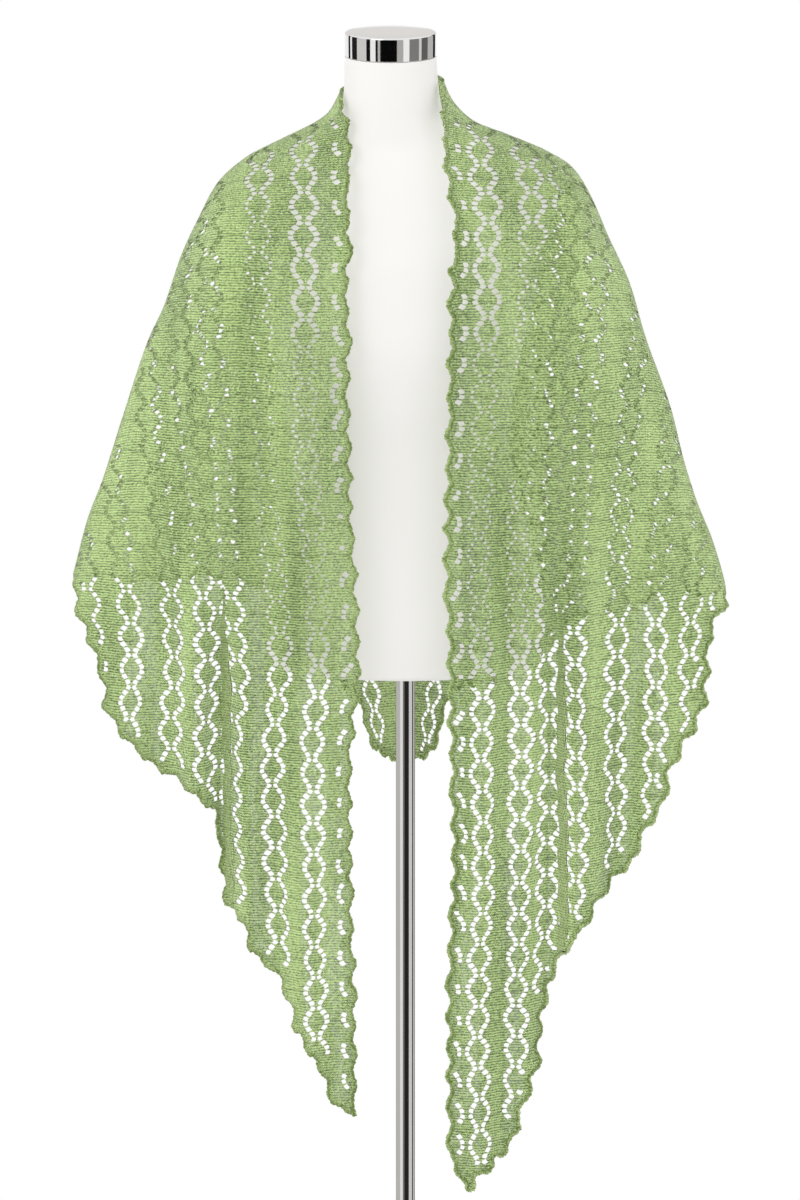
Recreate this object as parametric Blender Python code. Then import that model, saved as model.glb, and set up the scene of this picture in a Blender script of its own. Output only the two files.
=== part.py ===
# Lace wrap draped over a dress form on a chrome pole.
# Metres, +Z up. The foot of the pole is the origin and the front of the form faces -Y.
# The wrap is one knitted triangle, modelled as two halves that meet at the centre back.
import math

import bpy
import numpy as np
from mathutils import Vector
from mathutils.geometry import tessellate_polygon

# Clearances and cloth
GAP = 0.0003
WALL = 0.0020
WRAP_CENTRE_X = -0.003

# The knit's repeat: columns of lace diamonds with plain knitting between them
CHAIN_SPACING = 0.0475
CENTRE_BACK_COLUMN = 0.022
FRONT_EDGE_COLUMN = 0.055
DIAMOND_PERIOD = 0.0348
EYELET_WIDTH = 0.0070
EYELET_HEIGHT = 0.0076
EYELET_LIMIT = 290
EYELET_MARGIN = 0.0014
CHAIN_TOLERANCE = 0.1

# Rows of the wall's mesh, from the shoulder ridge down to each hem
FRONT_ROWS = 32
BACK_ROWS = 20
SHORTEST_ROW = 0.006
STEEP_HEM = 0.08
CORNER_DROP = 0.012
NECK_COLUMNS = [0.033, 0.044, 0.0505]

# The scalloped edge
SCALLOP_LENGTH = 0.036
SCALLOP_DEPTH = 0.0045
SCALLOP_STEP = 0.0095
RIM_SAMPLES = 25

# Ridge of the wrap seen from the front: distance outward and height
RIDGE_LEFT = [
    # out, height
    (0.068, 1.550),
    (0.080, 1.528),
    (0.092, 1.518),
    (0.131, 1.498),
    (0.171, 1.477),
    (0.202, 1.449),
    (0.223, 1.410),
    (0.242, 1.369),
    (0.261, 1.313),
    (0.278, 1.276),
    (0.307, 1.189),
    (0.329, 1.120),
    (0.346, 1.075),
    (0.358, 1.030),
    (0.365, 1.002),
]
RIDGE_RIGHT = [
    # out, height
    (0.044, 1.562),
    (0.053, 1.542),
    (0.076, 1.518),
    (0.115, 1.502),
    (0.157, 1.484),
    (0.184, 1.467),
    (0.203, 1.439),
    (0.224, 1.391),
    (0.248, 1.338),
    (0.265, 1.280),
    (0.294, 1.198),
    (0.308, 1.142),
    (0.322, 1.097),
    (0.340, 1.052),
    (0.353, 1.008),
    (0.357, 0.988),
]

# Front edges: height and distance outward
FRONT_EDGE_LEFT = [
    # height, out
    (0.430, 0.052),
    (0.585, 0.054),
    (0.765, 0.058),
    (0.845, 0.057),
    (0.930, 0.050),
    (1.020, 0.052),
    (1.120, 0.057),
    (1.232, 0.060),
    (1.506, 0.059),
    (1.550, 0.068),
]
FRONT_EDGE_RIGHT = [
    # height, out
    (0.370, 0.052),
    (0.563, 0.050),
    (0.720, 0.055),
    (0.899, 0.052),
    (1.033, 0.048),
    (1.232, 0.050),
    (1.430, 0.054),
    (1.500, 0.044),
    (1.562, 0.044),
]

# Hem of each front: distance outward and height
FRONT_HEM_LEFT = [
    # out, height
    (0.050, 0.437),
    (0.062, 0.440),
    (0.071, 0.447),
    (0.086, 0.480),
    (0.116, 0.533),
    (0.129, 0.570),
    (0.145, 0.600),
    (0.169, 0.622),
    (0.174, 0.646),
    (0.194, 0.666),
    (0.200, 0.711),
    (0.203, 0.756),
    (0.211, 0.776),
    (0.233, 0.796),
    (0.273, 0.818),
    (0.314, 0.862),
    (0.324, 0.879),
    (0.327, 0.903),
    (0.343, 0.949),
    (0.361, 0.988),
    (0.365, 1.000),
]
FRONT_HEM_RIGHT = [
    # out, height
    (0.048, 0.395),
    (0.058, 0.375),
    (0.071, 0.352),
    (0.083, 0.369),
    (0.119, 0.400),
    (0.127, 0.426),
    (0.138, 0.466),
    (0.149, 0.492),
    (0.152, 0.530),
    (0.156, 0.558),
    (0.173, 0.610),
    (0.193, 0.639),
    (0.220, 0.678),
    (0.249, 0.708),
    (0.260, 0.724),
    (0.265, 0.747),
    (0.286, 0.779),
    (0.290, 0.806),
    (0.298, 0.826),
    (0.326, 0.871),
    (0.333, 0.896),
    (0.335, 0.928),
    (0.339, 0.961),
    (0.352, 0.980),
    (0.357, 0.987),
]

# Hem of the back, down to the point behind the pole
BACK_HEM_LEFT = [
    # out, height
    (0.000, 0.778),
    (0.010, 0.780),
    (0.022, 0.788),
    (0.034, 0.797),
    (0.047, 0.835),
    (0.090, 0.886),
    (0.130, 0.944),
    (0.171, 0.984),
    (0.236, 0.991),
    (0.283, 0.993),
    (0.365, 1.001),
]
BACK_HEM_RIGHT = [
    # out, height
    (0.000, 0.778),
    (0.014, 0.781),
    (0.026, 0.788),
    (0.037, 0.801),
    (0.045, 0.828),
    (0.055, 0.852),
    (0.100, 0.870),
    (0.160, 0.909),
    (0.189, 0.940),
    (0.226, 0.954),
    (0.252, 0.960),
    (0.292, 0.979),
    (0.357, 0.986),
]

# How closely the columns hang together at each height
FRONT_FAN = [
    # height, spread
    (0.40, 0.85),
    (0.66, 0.85),
    (0.90, 0.87),
    (1.05, 0.90),
    (1.20, 0.95),
    (1.35, 1.00),
]
BACK_FAN = [
    # height, spread
    (0.775, 0.46),
    (0.810, 0.50),
    (0.858, 0.64),
    (0.920, 0.80),
    (1.000, 0.965),
    (1.150, 1.00),
]
BACK_FAN_DROP = 0.25

# How far the cloth stands out in front of and behind the ridge
FRONT_DEPTH = [
    # out, depth
    (0.00, 0.131),
    (0.12, 0.131),
    (0.18, 0.118),
    (0.24, 0.100),
    (0.30, 0.085),
    (0.40, 0.070),
]
BACK_DEPTH = [
    # out, depth
    (0.00, 0.128),
    (0.12, 0.125),
    (0.20, 0.112),
    (0.30, 0.080),
    (0.40, 0.065),
]
ROOF = [
    # column, radius at the ridge, slope below it
    (0.022, 0.030, 0.70),
    (0.055, 0.030, 0.70),
    (0.100, 0.050, 0.60),
    (0.160, 0.055, 0.50),
    (0.200, 0.045, 0.45),
    (0.240, 0.022, 0.40),
    (0.300, 0.012, 0.35),
    (0.400, 0.010, 0.33),
]
NECK_BACK_DEPTH = 0.066
NECK_BACK_HEIGHT = 1.565

# Soft folds: where each runs, how deep it is and how wide; a minus depth is a trough
FRONT_FOLDS_LEFT = [
    # out at top, out at foot, top, foot, depth, half width
    (0.196, 0.200, 1.10, 0.60, -0.030, 0.020),
    (0.225, 0.226, 1.12, 0.70, 0.016, 0.022),
    (0.152, 0.140, 1.36, 0.62, -0.012, 0.022),
    (0.118, 0.108, 1.20, 0.45, 0.008, 0.024),
    (0.272, 0.262, 1.26, 0.80, -0.012, 0.024),
    (0.318, 0.300, 1.16, 0.84, 0.010, 0.022),
]
FRONT_FOLDS_RIGHT = [
    # out at top, out at foot, top, foot, depth, half width
    (0.168, 0.158, 1.12, 0.58, -0.026, 0.020),
    (0.200, 0.190, 1.18, 0.60, 0.014, 0.022),
    (0.128, 0.112, 1.34, 0.50, -0.010, 0.022),
    (0.092, 0.086, 1.15, 0.40, 0.008, 0.022),
    (0.246, 0.240, 1.26, 0.70, -0.013, 0.024),
    (0.296, 0.284, 1.18, 0.78, 0.010, 0.024),
]
BACK_FOLDS_LEFT = [
    # out at top, out at foot, top, foot, depth, half width
    (0.045, 0.030, 1.30, 0.80, -0.010, 0.020),
    (0.110, 0.070, 1.34, 0.84, 0.012, 0.026),
    (0.170, 0.140, 1.36, 0.90, -0.014, 0.026),
    (0.235, 0.215, 1.30, 0.95, 0.012, 0.026),
    (0.292, 0.285, 1.20, 0.96, -0.010, 0.024),
]
BACK_FOLDS_RIGHT = [
    # out at top, out at foot, top, foot, depth, half width
    (0.052, 0.034, 1.26, 0.80, -0.011, 0.022),
    (0.122, 0.080, 1.36, 0.82, 0.011, 0.026),
    (0.186, 0.152, 1.32, 0.88, -0.015, 0.026),
    (0.250, 0.226, 1.28, 0.93, 0.011, 0.026),
    (0.305, 0.296, 1.16, 0.96, -0.009, 0.022),
]

# Sections of the dress form
FORM_SECTIONS = [
    # height, half width, front depth, back depth
    (0.9130, 0.150, 0.098, 0.105),
    (0.9600, 0.156, 0.101, 0.112),
    (1.0200, 0.150, 0.097, 0.107),
    (1.1000, 0.130, 0.090, 0.092),
    (1.1600, 0.121, 0.088, 0.085),
    (1.2200, 0.127, 0.097, 0.087),
    (1.3000, 0.147, 0.111, 0.096),
    (1.3600, 0.160, 0.107, 0.101),
    (1.4100, 0.175, 0.091, 0.097),
    (1.4400, 0.180, 0.079, 0.088),
    (1.4650, 0.168, 0.068, 0.078),
    (1.4852, 0.136, 0.058, 0.068),
    (1.4990, 0.098, 0.051, 0.060),
    (1.5130, 0.070, 0.049, 0.055),
    (1.5300, 0.0550, 0.048, 0.051),
    (1.5600, 0.0512, 0.049, 0.050),
    (1.5895, 0.0500, 0.050, 0.050),
]
FORM_SIDES = 36
FORM_LEAN = -0.0143
FORM_CENTRE_X = -0.0020
LEVEL_FOOT = 0.10
LEVEL_CROWN = 0.06

# The stand
ROUND_SIDES = 36
POLE_RADIUS = 0.0105
POLE_SOCKET_DEPTH = 0.060
CAP_RADIUS = 0.0500
CAP_HEIGHT = 0.0265
CAP_ROUNDING = 0.0015
BASE_RADIUS = 0.165
BASE_EDGE_HEIGHT = 0.006
BASE_CENTRE_HEIGHT = 0.009
BASE_CHAMFER = 0.002
COLLAR_RADIUS = 0.0210
COLLAR_TOP = 0.055
POLE_FOOT = 0.004


def clear_scene():
    for old in list(bpy.data.objects):
        bpy.data.objects.remove(old, do_unlink=True)


def column_of(table, index):
    return np.array([row[index] for row in table], dtype=float)


def smooth_table(table, at, index=1):
    """A smooth curve through a table's rows that never swings past them."""
    x = column_of(table, 0)
    y = column_of(table, index)
    at = np.clip(np.asarray(at, dtype=float), x[0], x[-1])
    step = np.diff(x)
    slope = np.diff(y) / step
    tangent = np.zeros_like(y)
    same_way = slope[:-1] * slope[1:] > 0
    harmonic = 2 * slope[:-1] * slope[1:] / np.where(same_way, slope[:-1] + slope[1:], 1)
    tangent[1:-1] = np.where(same_way, harmonic, 0)
    tangent[0] = slope[0]
    tangent[-1] = slope[-1]
    k = np.clip(np.searchsorted(x, at, side="right") - 1, 0, len(step) - 1)
    t = (at - x[k]) / step[k]
    rise = y[k] * (1 + 2 * t) * (1 - t) ** 2 + y[k + 1] * t * t * (3 - 2 * t)
    lift = tangent[k] * t * (1 - t) ** 2 - tangent[k + 1] * t * t * (1 - t)
    return rise + step[k] * lift


def ease(t):
    t = np.clip(t, 0, 1)
    return t * t * (3 - 2 * t)


def soft_least(a, b):
    """The smaller of two depths, blended where they cross."""
    a = np.maximum(a, 1e-6)
    return (a ** -4.0 + b ** -4.0) ** -0.25


class HalfWrap:
    """One half of the wrap as a surface over columns of knitting and the drop below the ridge."""

    def __init__(self, side, ridge, edge, front_hem, back_hem, front_folds, back_folds):
        self.side = side
        self.edge = edge
        self.front_hem = front_hem
        self.back_hem = back_hem
        self.front_folds = front_folds
        self.back_folds = back_folds
        self.neck_out = ridge[0][0]
        self.neck_height = ridge[0][1]
        height = np.linspace(ridge[0][1], ridge[-1][1], 600)
        falling = [(row[1], row[0]) for row in reversed(ridge)]
        out = smooth_table(falling, height)
        column = FRONT_EDGE_COLUMN + (out - self.edge_out(height)) / smooth_table(FRONT_FAN, height)
        self.ridge_column = np.maximum.accumulate(column)
        self.ridge_height = height
        self.ridge_out = out
        corner = ridge[-1][1] + CORNER_DROP
        self.last_column = float(np.interp(-corner, -height, self.ridge_column))

    def edge_out(self, height):
        return smooth_table(self.edge, height)

    def top(self, column):
        """Height, distance outward and depth of a column's upper end."""
        column = np.asarray(column, dtype=float)
        height = np.interp(column, self.ridge_column, self.ridge_height)
        out = np.interp(column, self.ridge_column, self.ridge_out)
        around = (column - CENTRE_BACK_COLUMN) / (FRONT_EDGE_COLUMN - CENTRE_BACK_COLUMN)
        around = np.clip(around, 0, 1)
        behind = NECK_BACK_DEPTH * np.sqrt(1 - around ** 2)
        on_neck = self.neck_height + (NECK_BACK_HEIGHT - self.neck_height) * (1 - around ** 2)
        back = column < FRONT_EDGE_COLUMN
        height = np.where(back, on_neck, height)
        out = np.where(back, around * self.neck_out, out)
        return height, out, np.where(back, behind, 0)

    def front_out(self, column, height):
        spread = smooth_table(FRONT_FAN, height)
        return self.edge_out(height) + (column - FRONT_EDGE_COLUMN) * spread

    def back_out(self, column, height):
        top, out, _ = self.top(column)
        gathered = (column - CENTRE_BACK_COLUMN) * smooth_table(BACK_FAN, height)
        return out + (gathered - out) * ease((top - height) / BACK_FAN_DROP)

    def fold_depth(self, folds, out, height):
        depth = 0
        for out_top, out_foot, top, foot, amount, width in folds:
            along = np.clip((top - height) / (top - foot), 0, 1)
            centre = out_top + (out_foot - out_top) * along
            strength = ease((top - height) / (0.45 * (top - foot)))
            depth = depth + amount * strength * np.exp(-((out - centre) / width) ** 2)
        return depth

    def point(self, column, drop, front):
        """A point of the middle of the cloth, at a drop below the top of its column."""
        top, _, start = self.top(column)
        height = top - drop
        radius = smooth_table(ROOF, column, 1)
        slope = smooth_table(ROOF, column, 2)
        reach = np.sqrt(start ** 2 + 2 * radius * drop + (slope * drop) ** 2)
        if front:
            out = self.front_out(column, height)
            limit = smooth_table(FRONT_DEPTH, out) + self.fold_depth(self.front_folds, out, height)
        else:
            out = self.back_out(column, height)
            limit = smooth_table(BACK_DEPTH, out) + self.fold_depth(self.back_folds, out, height)
        depth = soft_least(reach, limit)
        return np.stack([out, -depth if front else depth, height], axis=-1)

    def hem_drop(self, column, front):
        """How far down its column the cloth reaches."""
        top, _, _ = self.top(column)
        drop = np.linspace(0, float(top) - 0.30, 900)
        height = float(top) - drop
        out = self.front_out(column, height) if front else self.back_out(column, height)
        hem = smooth_table(self.front_hem if front else self.back_hem, np.maximum(out, 0))
        below = np.nonzero(height < hem)[0]
        return float(drop[below[0]]) if len(below) else float(drop[-1])


def off_chain(column):
    """How many chain spacings a column is from the nearest lace column, and that one's number."""
    chain = (column - FRONT_EDGE_COLUMN) / CHAIN_SPACING
    return abs(chain - round(chain)), round(chain)


def column_lines(half):
    """Mesh lines on both sides of each lace column, and more where the hem is steep."""
    lines = [CENTRE_BACK_COLUMN] + NECK_COLUMNS + [FRONT_EDGE_COLUMN]
    quarter = CHAIN_SPACING / 4
    at = FRONT_EDGE_COLUMN + quarter
    while at < half.last_column - quarter:
        lines.append(at)
        at += 2 * quarter
    lines.append(half.last_column)
    steep = []
    for inner, outer in zip(lines, lines[1:]):
        middle = (inner + outer) / 2
        distance, _ = off_chain(middle)
        falls = half.hem_drop(inner, True) - half.hem_drop(outer, True)
        if distance > CHAIN_TOLERANCE and falls > STEEP_HEM:
            steep.append(middle)
    return sorted(lines + steep)


def row_drops(half, column, front, rows):
    """Drops of the rows, closer together where the cloth turns over the ridge."""
    reach = half.hem_drop(column, front)
    fraction = np.linspace(0, 1, rows + 1)
    eased = 0.62 * fraction + 0.38 * fraction ** 2
    return reach * eased


class ClothMesh:
    """The middle of the cloth as cells, with eyelets and a scalloped rim."""

    def __init__(self):
        self.points = []
        self.places = {}
        self.faces = []
        self.centre_points = set()
        self.rim_normals = {}

    def add(self, point):
        self.points.append(np.asarray(point, dtype=float))
        return len(self.points) - 1

    def normals(self):
        points = np.array(self.points)
        total = np.zeros_like(points)
        for face in self.faces:
            corners = points[list(face)]
            normal = np.cross(corners[2] - corners[0], corners[-1] - corners[1])
            for vertex in face:
                total[vertex] += normal
        for vertex, normal in self.rim_normals.items():
            total[vertex] = normal
        for vertex in self.centre_points:
            total[vertex][0] = 0
        return total / np.linalg.norm(total, axis=1)[:, None]


def add_column(cloth, grid, i, half, column, front, rows):
    """Points down one column; rows that would lie too close share a point."""
    drops = row_drops(half, column, front, rows)
    kept = drops[0]
    for j, drop in enumerate(drops):
        if (i, j) in grid:
            continue
        too_close = drop - kept < SHORTEST_ROW or drops[-1] - drop < SHORTEST_ROW / 2
        if 0 < j < rows and too_close:
            grid[i, j] = grid[i, j - 1]
            continue
        grid[i, j] = cloth.add(half.point(column, drop, front))
        cloth.places[grid[i, j]] = (column, drop, front, j == rows)
        kept = drop


def without_repeats(loop):
    return [vertex for k, vertex in enumerate(loop) if vertex != loop[k - 1]]


def build_grid(half, cloth):
    """Points of the front and back, sharing the ridge, and the cells between them."""
    lines = column_lines(half)
    first_front = int(np.argmin(np.abs(np.array(lines) - FRONT_EDGE_COLUMN)))
    back = {}
    front = {}
    for i, column in enumerate(lines):
        add_column(cloth, back, i, half, column, False, BACK_ROWS)
    for j in range(BACK_ROWS + 1):
        cloth.points[back[0, j]][0] = GAP / 2
        cloth.centre_points.add(back[0, j])
    for i in range(first_front, len(lines)):
        front[i, 0] = back[i, 0]
        add_column(cloth, front, i, half, lines[i], True, FRONT_ROWS)
    cells = []
    for i in range(len(lines) - 1):
        for j in range(BACK_ROWS):
            corners = (back[i, j], back[i + 1, j], back[i + 1, j + 1], back[i, j + 1])
            cells.append({"corners": corners, "column": i, "row": j, "front": False})
    for i in range(first_front, len(lines) - 1):
        for j in range(FRONT_ROWS):
            corners = (front[i + 1, j], front[i, j], front[i, j + 1], front[i + 1, j + 1])
            cells.append({"corners": corners, "column": i, "row": j, "front": True})
    last = len(lines) - 1
    rim = [front[first_front, j] for j in range(FRONT_ROWS + 1)]
    rim += [front[i, FRONT_ROWS] for i in range(first_front + 1, last + 1)]
    rim += [front[last, j] for j in range(FRONT_ROWS - 1, 0, -1)]
    rim += [back[last, j] for j in range(BACK_ROWS + 1)]
    rim += [back[i, BACK_ROWS] for i in range(last - 1, -1, -1)]
    centre = [back[0, j] for j in range(BACK_ROWS - 1, -1, -1)]
    neck = [back[i, 0] for i in range(1, first_front)]
    return lines, cells, without_repeats(rim), without_repeats(centre), neck


def rim_path(half, start, end):
    """Close points of the cloth's own surface from one rim point to the next."""
    columns = np.linspace(start[0], end[0], RIM_SAMPLES)
    drops = np.linspace(start[1], end[1], RIM_SAMPLES)
    front = start[2] and (end[2] or end[1] > 0) or end[2]
    if start[3] and end[3] and start[0] != end[0]:
        drops = np.array([half.hem_drop(column, front) for column in columns])
    return half.point(columns, drops, front)


def scalloped_rim(half, cloth, cells, rim, centre, neck):
    """Push the rim outward in even scallops, with new points between the mesh's own."""
    loop = rim + centre + neck
    uncut = [rim[-1]] + centre + neck + [rim[0]]
    plain = set(zip(uncut, uncut[1:]))
    cloth.faces = [cell["corners"] for cell in cells]
    normals = cloth.normals()
    paths = []
    for a, b in zip(loop, loop[1:] + loop[:1]):
        path = rim_path(half, cloth.places[a], cloth.places[b])
        size = np.concatenate([[0], np.cumsum(np.linalg.norm(np.diff(path, axis=0), axis=1))])
        paths.append((a, b, path, size))
    scalloped = sum(row[3][-1] for row in paths[:len(rim) - 1])

    def push(at):
        to_an_end = min(at, scalloped - at) / SCALLOP_LENGTH
        wave = abs(math.sin(math.pi * at / SCALLOP_LENGTH)) ** 0.8
        return SCALLOP_DEPTH * wave * float(ease(to_an_end))

    travelled = 0.0
    inserted = {}
    outward = {}
    for a, b, path, size in paths:
        count = 1 if (a, b) in plain else max(1, int(round(size[-1] / SCALLOP_STEP)))
        new = []
        for k in range(count + 1):
            at = size[-1] * k / count
            place = np.array([np.interp(at, size, path[:, axis]) for axis in range(3)])
            ahead = np.array([np.interp(at + 0.001, size, path[:, axis]) for axis in range(3)])
            behind = np.array([np.interp(at - 0.001, size, path[:, axis]) for axis in range(3)])
            normal = normals[a] * (count - k) + normals[b] * k
            normal = normal / np.linalg.norm(normal)
            straight = path[0] + (path[-1] - path[0]) * k / count
            place = place - normal * np.dot(place - straight, normal)
            chord_out = np.cross(path[-1] - path[0], normal)
            chord_out = chord_out / np.linalg.norm(chord_out)
            inward = np.dot(straight - place, chord_out)
            place = place + chord_out * max(0.0, inward)
            out = np.cross(ahead - behind, normal)
            out = out / np.linalg.norm(out)
            if 0 < k < count:
                new.append(cloth.add(place + out * push(travelled + at)))
                cloth.rim_normals[new[-1]] = normal
            else:
                corner = a if k == 0 else b
                outward.setdefault(corner, []).append((out, push(travelled + at)))
        inserted[a, b] = new
        inserted[b, a] = new[::-1]
        travelled += size[-1]
    for vertex in loop:
        cloth.rim_normals[vertex] = normals[vertex]
        if vertex not in cloth.centre_points:
            out = sum(part[0] for part in outward[vertex])
            move = out / np.linalg.norm(out) * outward[vertex][0][1]
            cloth.points[vertex] = cloth.points[vertex] + move
    return inserted


def eyelet_cells(half, lines, cells, rim_points, points):
    """Cells that hold a crossing of two lace diamonds, with its place in the cell."""
    found = []
    for index, cell in enumerate(cells):
        middle = (lines[cell["column"]] + lines[cell["column"] + 1]) / 2
        distance, number = off_chain(middle)
        if distance > CHAIN_TOLERANCE or number < 1:
            continue
        if len(set(cell["corners"])) < 4 or rim_points & set(cell["corners"]):
            continue
        corners = points[list(cell["corners"])]
        upper = (corners[0] + corners[1]) / 2
        lower = (corners[2] + corners[3]) / 2
        tall = np.linalg.norm(upper - lower)
        wide = np.linalg.norm((corners[0] + corners[3] - corners[1] - corners[2]) / 2)
        crossing = math.floor(upper[2] / DIAMOND_PERIOD)
        height = crossing * DIAMOND_PERIOD
        share = (upper[2] - height) / max(upper[2] - lower[2], 1e-6)
        room = min(share, 1 - share) * tall - EYELET_HEIGHT / 2
        if room < EYELET_MARGIN or wide < EYELET_WIDTH + 2 * EYELET_MARGIN:
            continue
        found.append((index, share, EYELET_WIDTH / wide, EYELET_HEIGHT / tall))
    return found


def cut_eyelet(cloth, cell, share, wide, tall):
    """Replace a cell by the four faces round its eyelet."""
    a, b, c, d = [cloth.points[corner] for corner in cell["corners"]]
    ring = []
    for across, down in ((-1, -1), (1, -1), (1, 1), (-1, 1)):
        u = 0.5 + across * wide / 2
        v = share + down * tall / 2
        place = (a * (1 - u) + b * u) * (1 - v) + (d * (1 - u) + c * u) * v
        ring.append(cloth.add(place))
    corners = cell["corners"]
    for k in range(4):
        n = (k + 1) % 4
        cloth.faces.append((corners[k], corners[n], ring[n]))
        cloth.faces.append((corners[k], ring[n], ring[k]))


def split_cell(points, corners, inserted):
    """Triangles of a cell, with the new points on its rim."""
    corners = without_repeats(corners)
    polygon = []
    for a, b in zip(corners, corners[1:] + corners[:1]):
        polygon += [a] + inserted.get((a, b), [])
    if len(polygon) <= 4:
        return [(polygon[0], polygon[k], polygon[k + 1]) for k in range(1, len(polygon) - 1)]
    loop = [Vector(points[vertex]) for vertex in polygon]
    return [tuple(polygon[k] for k in sorted(tri)) for tri in tessellate_polygon([loop])]


def thicken(cloth, side):
    """Offset the middle of the cloth both ways and close every edge."""
    normals = cloth.normals()
    middle = np.array(cloth.points)
    outer = middle + normals * (WALL / 2)
    inner = middle - normals * (WALL / 2)
    count = len(middle)
    points = np.concatenate([outer, inner])
    points[:, 0] = WRAP_CENTRE_X + side * points[:, 0]
    faces = []
    edges = {}
    for face in cloth.faces:
        faces.append(face)
        faces.append(tuple(vertex + count for vertex in reversed(face)))
        for k in range(3):
            edges[face[k], face[(k + 1) % 3]] = True
    for a, b in edges:
        if (b, a) not in edges:
            faces.append((b, a, a + count))
            faces.append((b, a + count, b + count))
    if side < 0:
        faces = [tuple(reversed(face)) for face in faces]
    return points, faces


def material(name, colour, roughness, metallic=0.0):
    made = bpy.data.materials.new(name)
    made.use_nodes = True
    shader = made.node_tree.nodes["Principled BSDF"]
    shader.inputs["Base Color"].default_value = (*colour, 1.0)
    shader.inputs["Roughness"].default_value = roughness
    shader.inputs["Metallic"].default_value = metallic
    return made


def make_object(name, points, faces, finish, sharp=math.radians(40)):
    mesh = bpy.data.meshes.new(name)
    mesh.from_pydata([tuple(point) for point in points], [], faces)
    mesh.update()
    mesh.materials.append(finish)
    mesh.shade_smooth()
    mesh.set_sharp_from_angle(angle=sharp)
    made = bpy.data.objects.new(name, mesh)
    bpy.context.scene.collection.objects.link(made)
    return made


def make_half(name, half, finish, eyelets_left):
    cloth = ClothMesh()
    lines, cells, rim, centre, neck = build_grid(half, cloth)
    inserted = scalloped_rim(half, cloth, cells, rim, centre, neck)
    points = np.array(cloth.points)
    rim_points = set(rim + centre + neck)
    eyelets = eyelet_cells(half, lines, cells, rim_points, points)[:eyelets_left]
    holed = {index: row for index, *row in eyelets}
    cloth.faces = []
    for index, cell in enumerate(cells):
        if index in holed:
            cut_eyelet(cloth, cell, *holed[index])
        elif len(set(cell["corners"])) > 2:
            cloth.faces += split_cell(points, cell["corners"], inserted)
    points, faces = thicken(cloth, half.side)
    make_object(name, points, faces, finish)
    return len(eyelets)


def turned(name, profile, finish, centre=(0.0, 0.0)):
    """A solid of revolution from a profile that starts and ends on the axis."""
    points = [(centre[0], centre[1], profile[0][1])]
    faces = []
    rings = profile[1:-1]
    for radius, height in rings:
        for k in range(ROUND_SIDES):
            angle = 2 * math.pi * k / ROUND_SIDES
            x = centre[0] + radius * math.cos(angle)
            y = centre[1] + radius * math.sin(angle)
            points.append((x, y, height))
    points.append((centre[0], centre[1], profile[-1][1]))
    last = len(points) - 1
    for k in range(ROUND_SIDES):
        n = (k + 1) % ROUND_SIDES
        faces.append((0, 1 + n, 1 + k))
        for ring in range(len(rings) - 1):
            low = 1 + ring * ROUND_SIDES
            high = low + ROUND_SIDES
            faces.append((low + k, low + n, high + n, high + k))
        top = 1 + (len(rings) - 1) * ROUND_SIDES
        faces.append((last, top + k, top + n))
    return make_object(name, points, faces, finish)


def form_centre(height):
    foot = FORM_SECTIONS[0][0]
    crown = FORM_SECTIONS[-1][0]
    return FORM_CENTRE_X + FORM_LEAN * (height - foot) / (crown - foot)


def form_rise(height, out):
    """The lean lifts one shoulder and lowers the other; the foot and crown stay level."""
    foot = FORM_SECTIONS[0][0]
    crown = FORM_SECTIONS[-1][0]
    leaning = ease((height - foot) / LEVEL_FOOT) * ease((crown - height) / LEVEL_CROWN)
    return -FORM_LEAN * out / (crown - foot) * float(leaning)


def make_form(finish):
    """The torso and neck, with a socket for the pole in its flat underside."""
    foot = FORM_SECTIONS[0][0]
    heights = column_of(FORM_SECTIONS, 0)
    socket = POLE_RADIUS + GAP
    roof = foot + POLE_SOCKET_DEPTH
    points = [(0.0, 0.0, roof)]
    for radius, height in ((socket, roof), (socket, foot)):
        for k in range(FORM_SIDES):
            angle = 2 * math.pi * k / FORM_SIDES
            points.append((radius * math.cos(angle), radius * math.sin(angle), height))
    for height in heights:
        wide = float(smooth_table(FORM_SECTIONS, height, 1))
        front = float(smooth_table(FORM_SECTIONS, height, 2))
        back = float(smooth_table(FORM_SECTIONS, height, 3))
        for k in range(FORM_SIDES):
            angle = 2 * math.pi * k / FORM_SIDES
            depth = back if math.sin(angle) > 0 else front
            out = wide * math.cos(angle)
            rise = form_rise(height, out)
            points.append((form_centre(height) + out, depth * math.sin(angle), height + rise))
    crown = heights[-1]
    points.append((form_centre(crown), 0.0, crown))
    last = len(points) - 1
    count = 2 + len(heights)
    faces = []
    for k in range(FORM_SIDES):
        n = (k + 1) % FORM_SIDES
        faces.append((0, 1 + n, 1 + k))
        for ring in range(count - 1):
            low = 1 + ring * FORM_SIDES
            high = low + FORM_SIDES
            faces.append((low + k, low + n, high + n, high + k))
        top = 1 + (count - 1) * FORM_SIDES
        faces.append((last, top + k, top + n))
    return make_object("form_torso", points, faces, finish)


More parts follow.
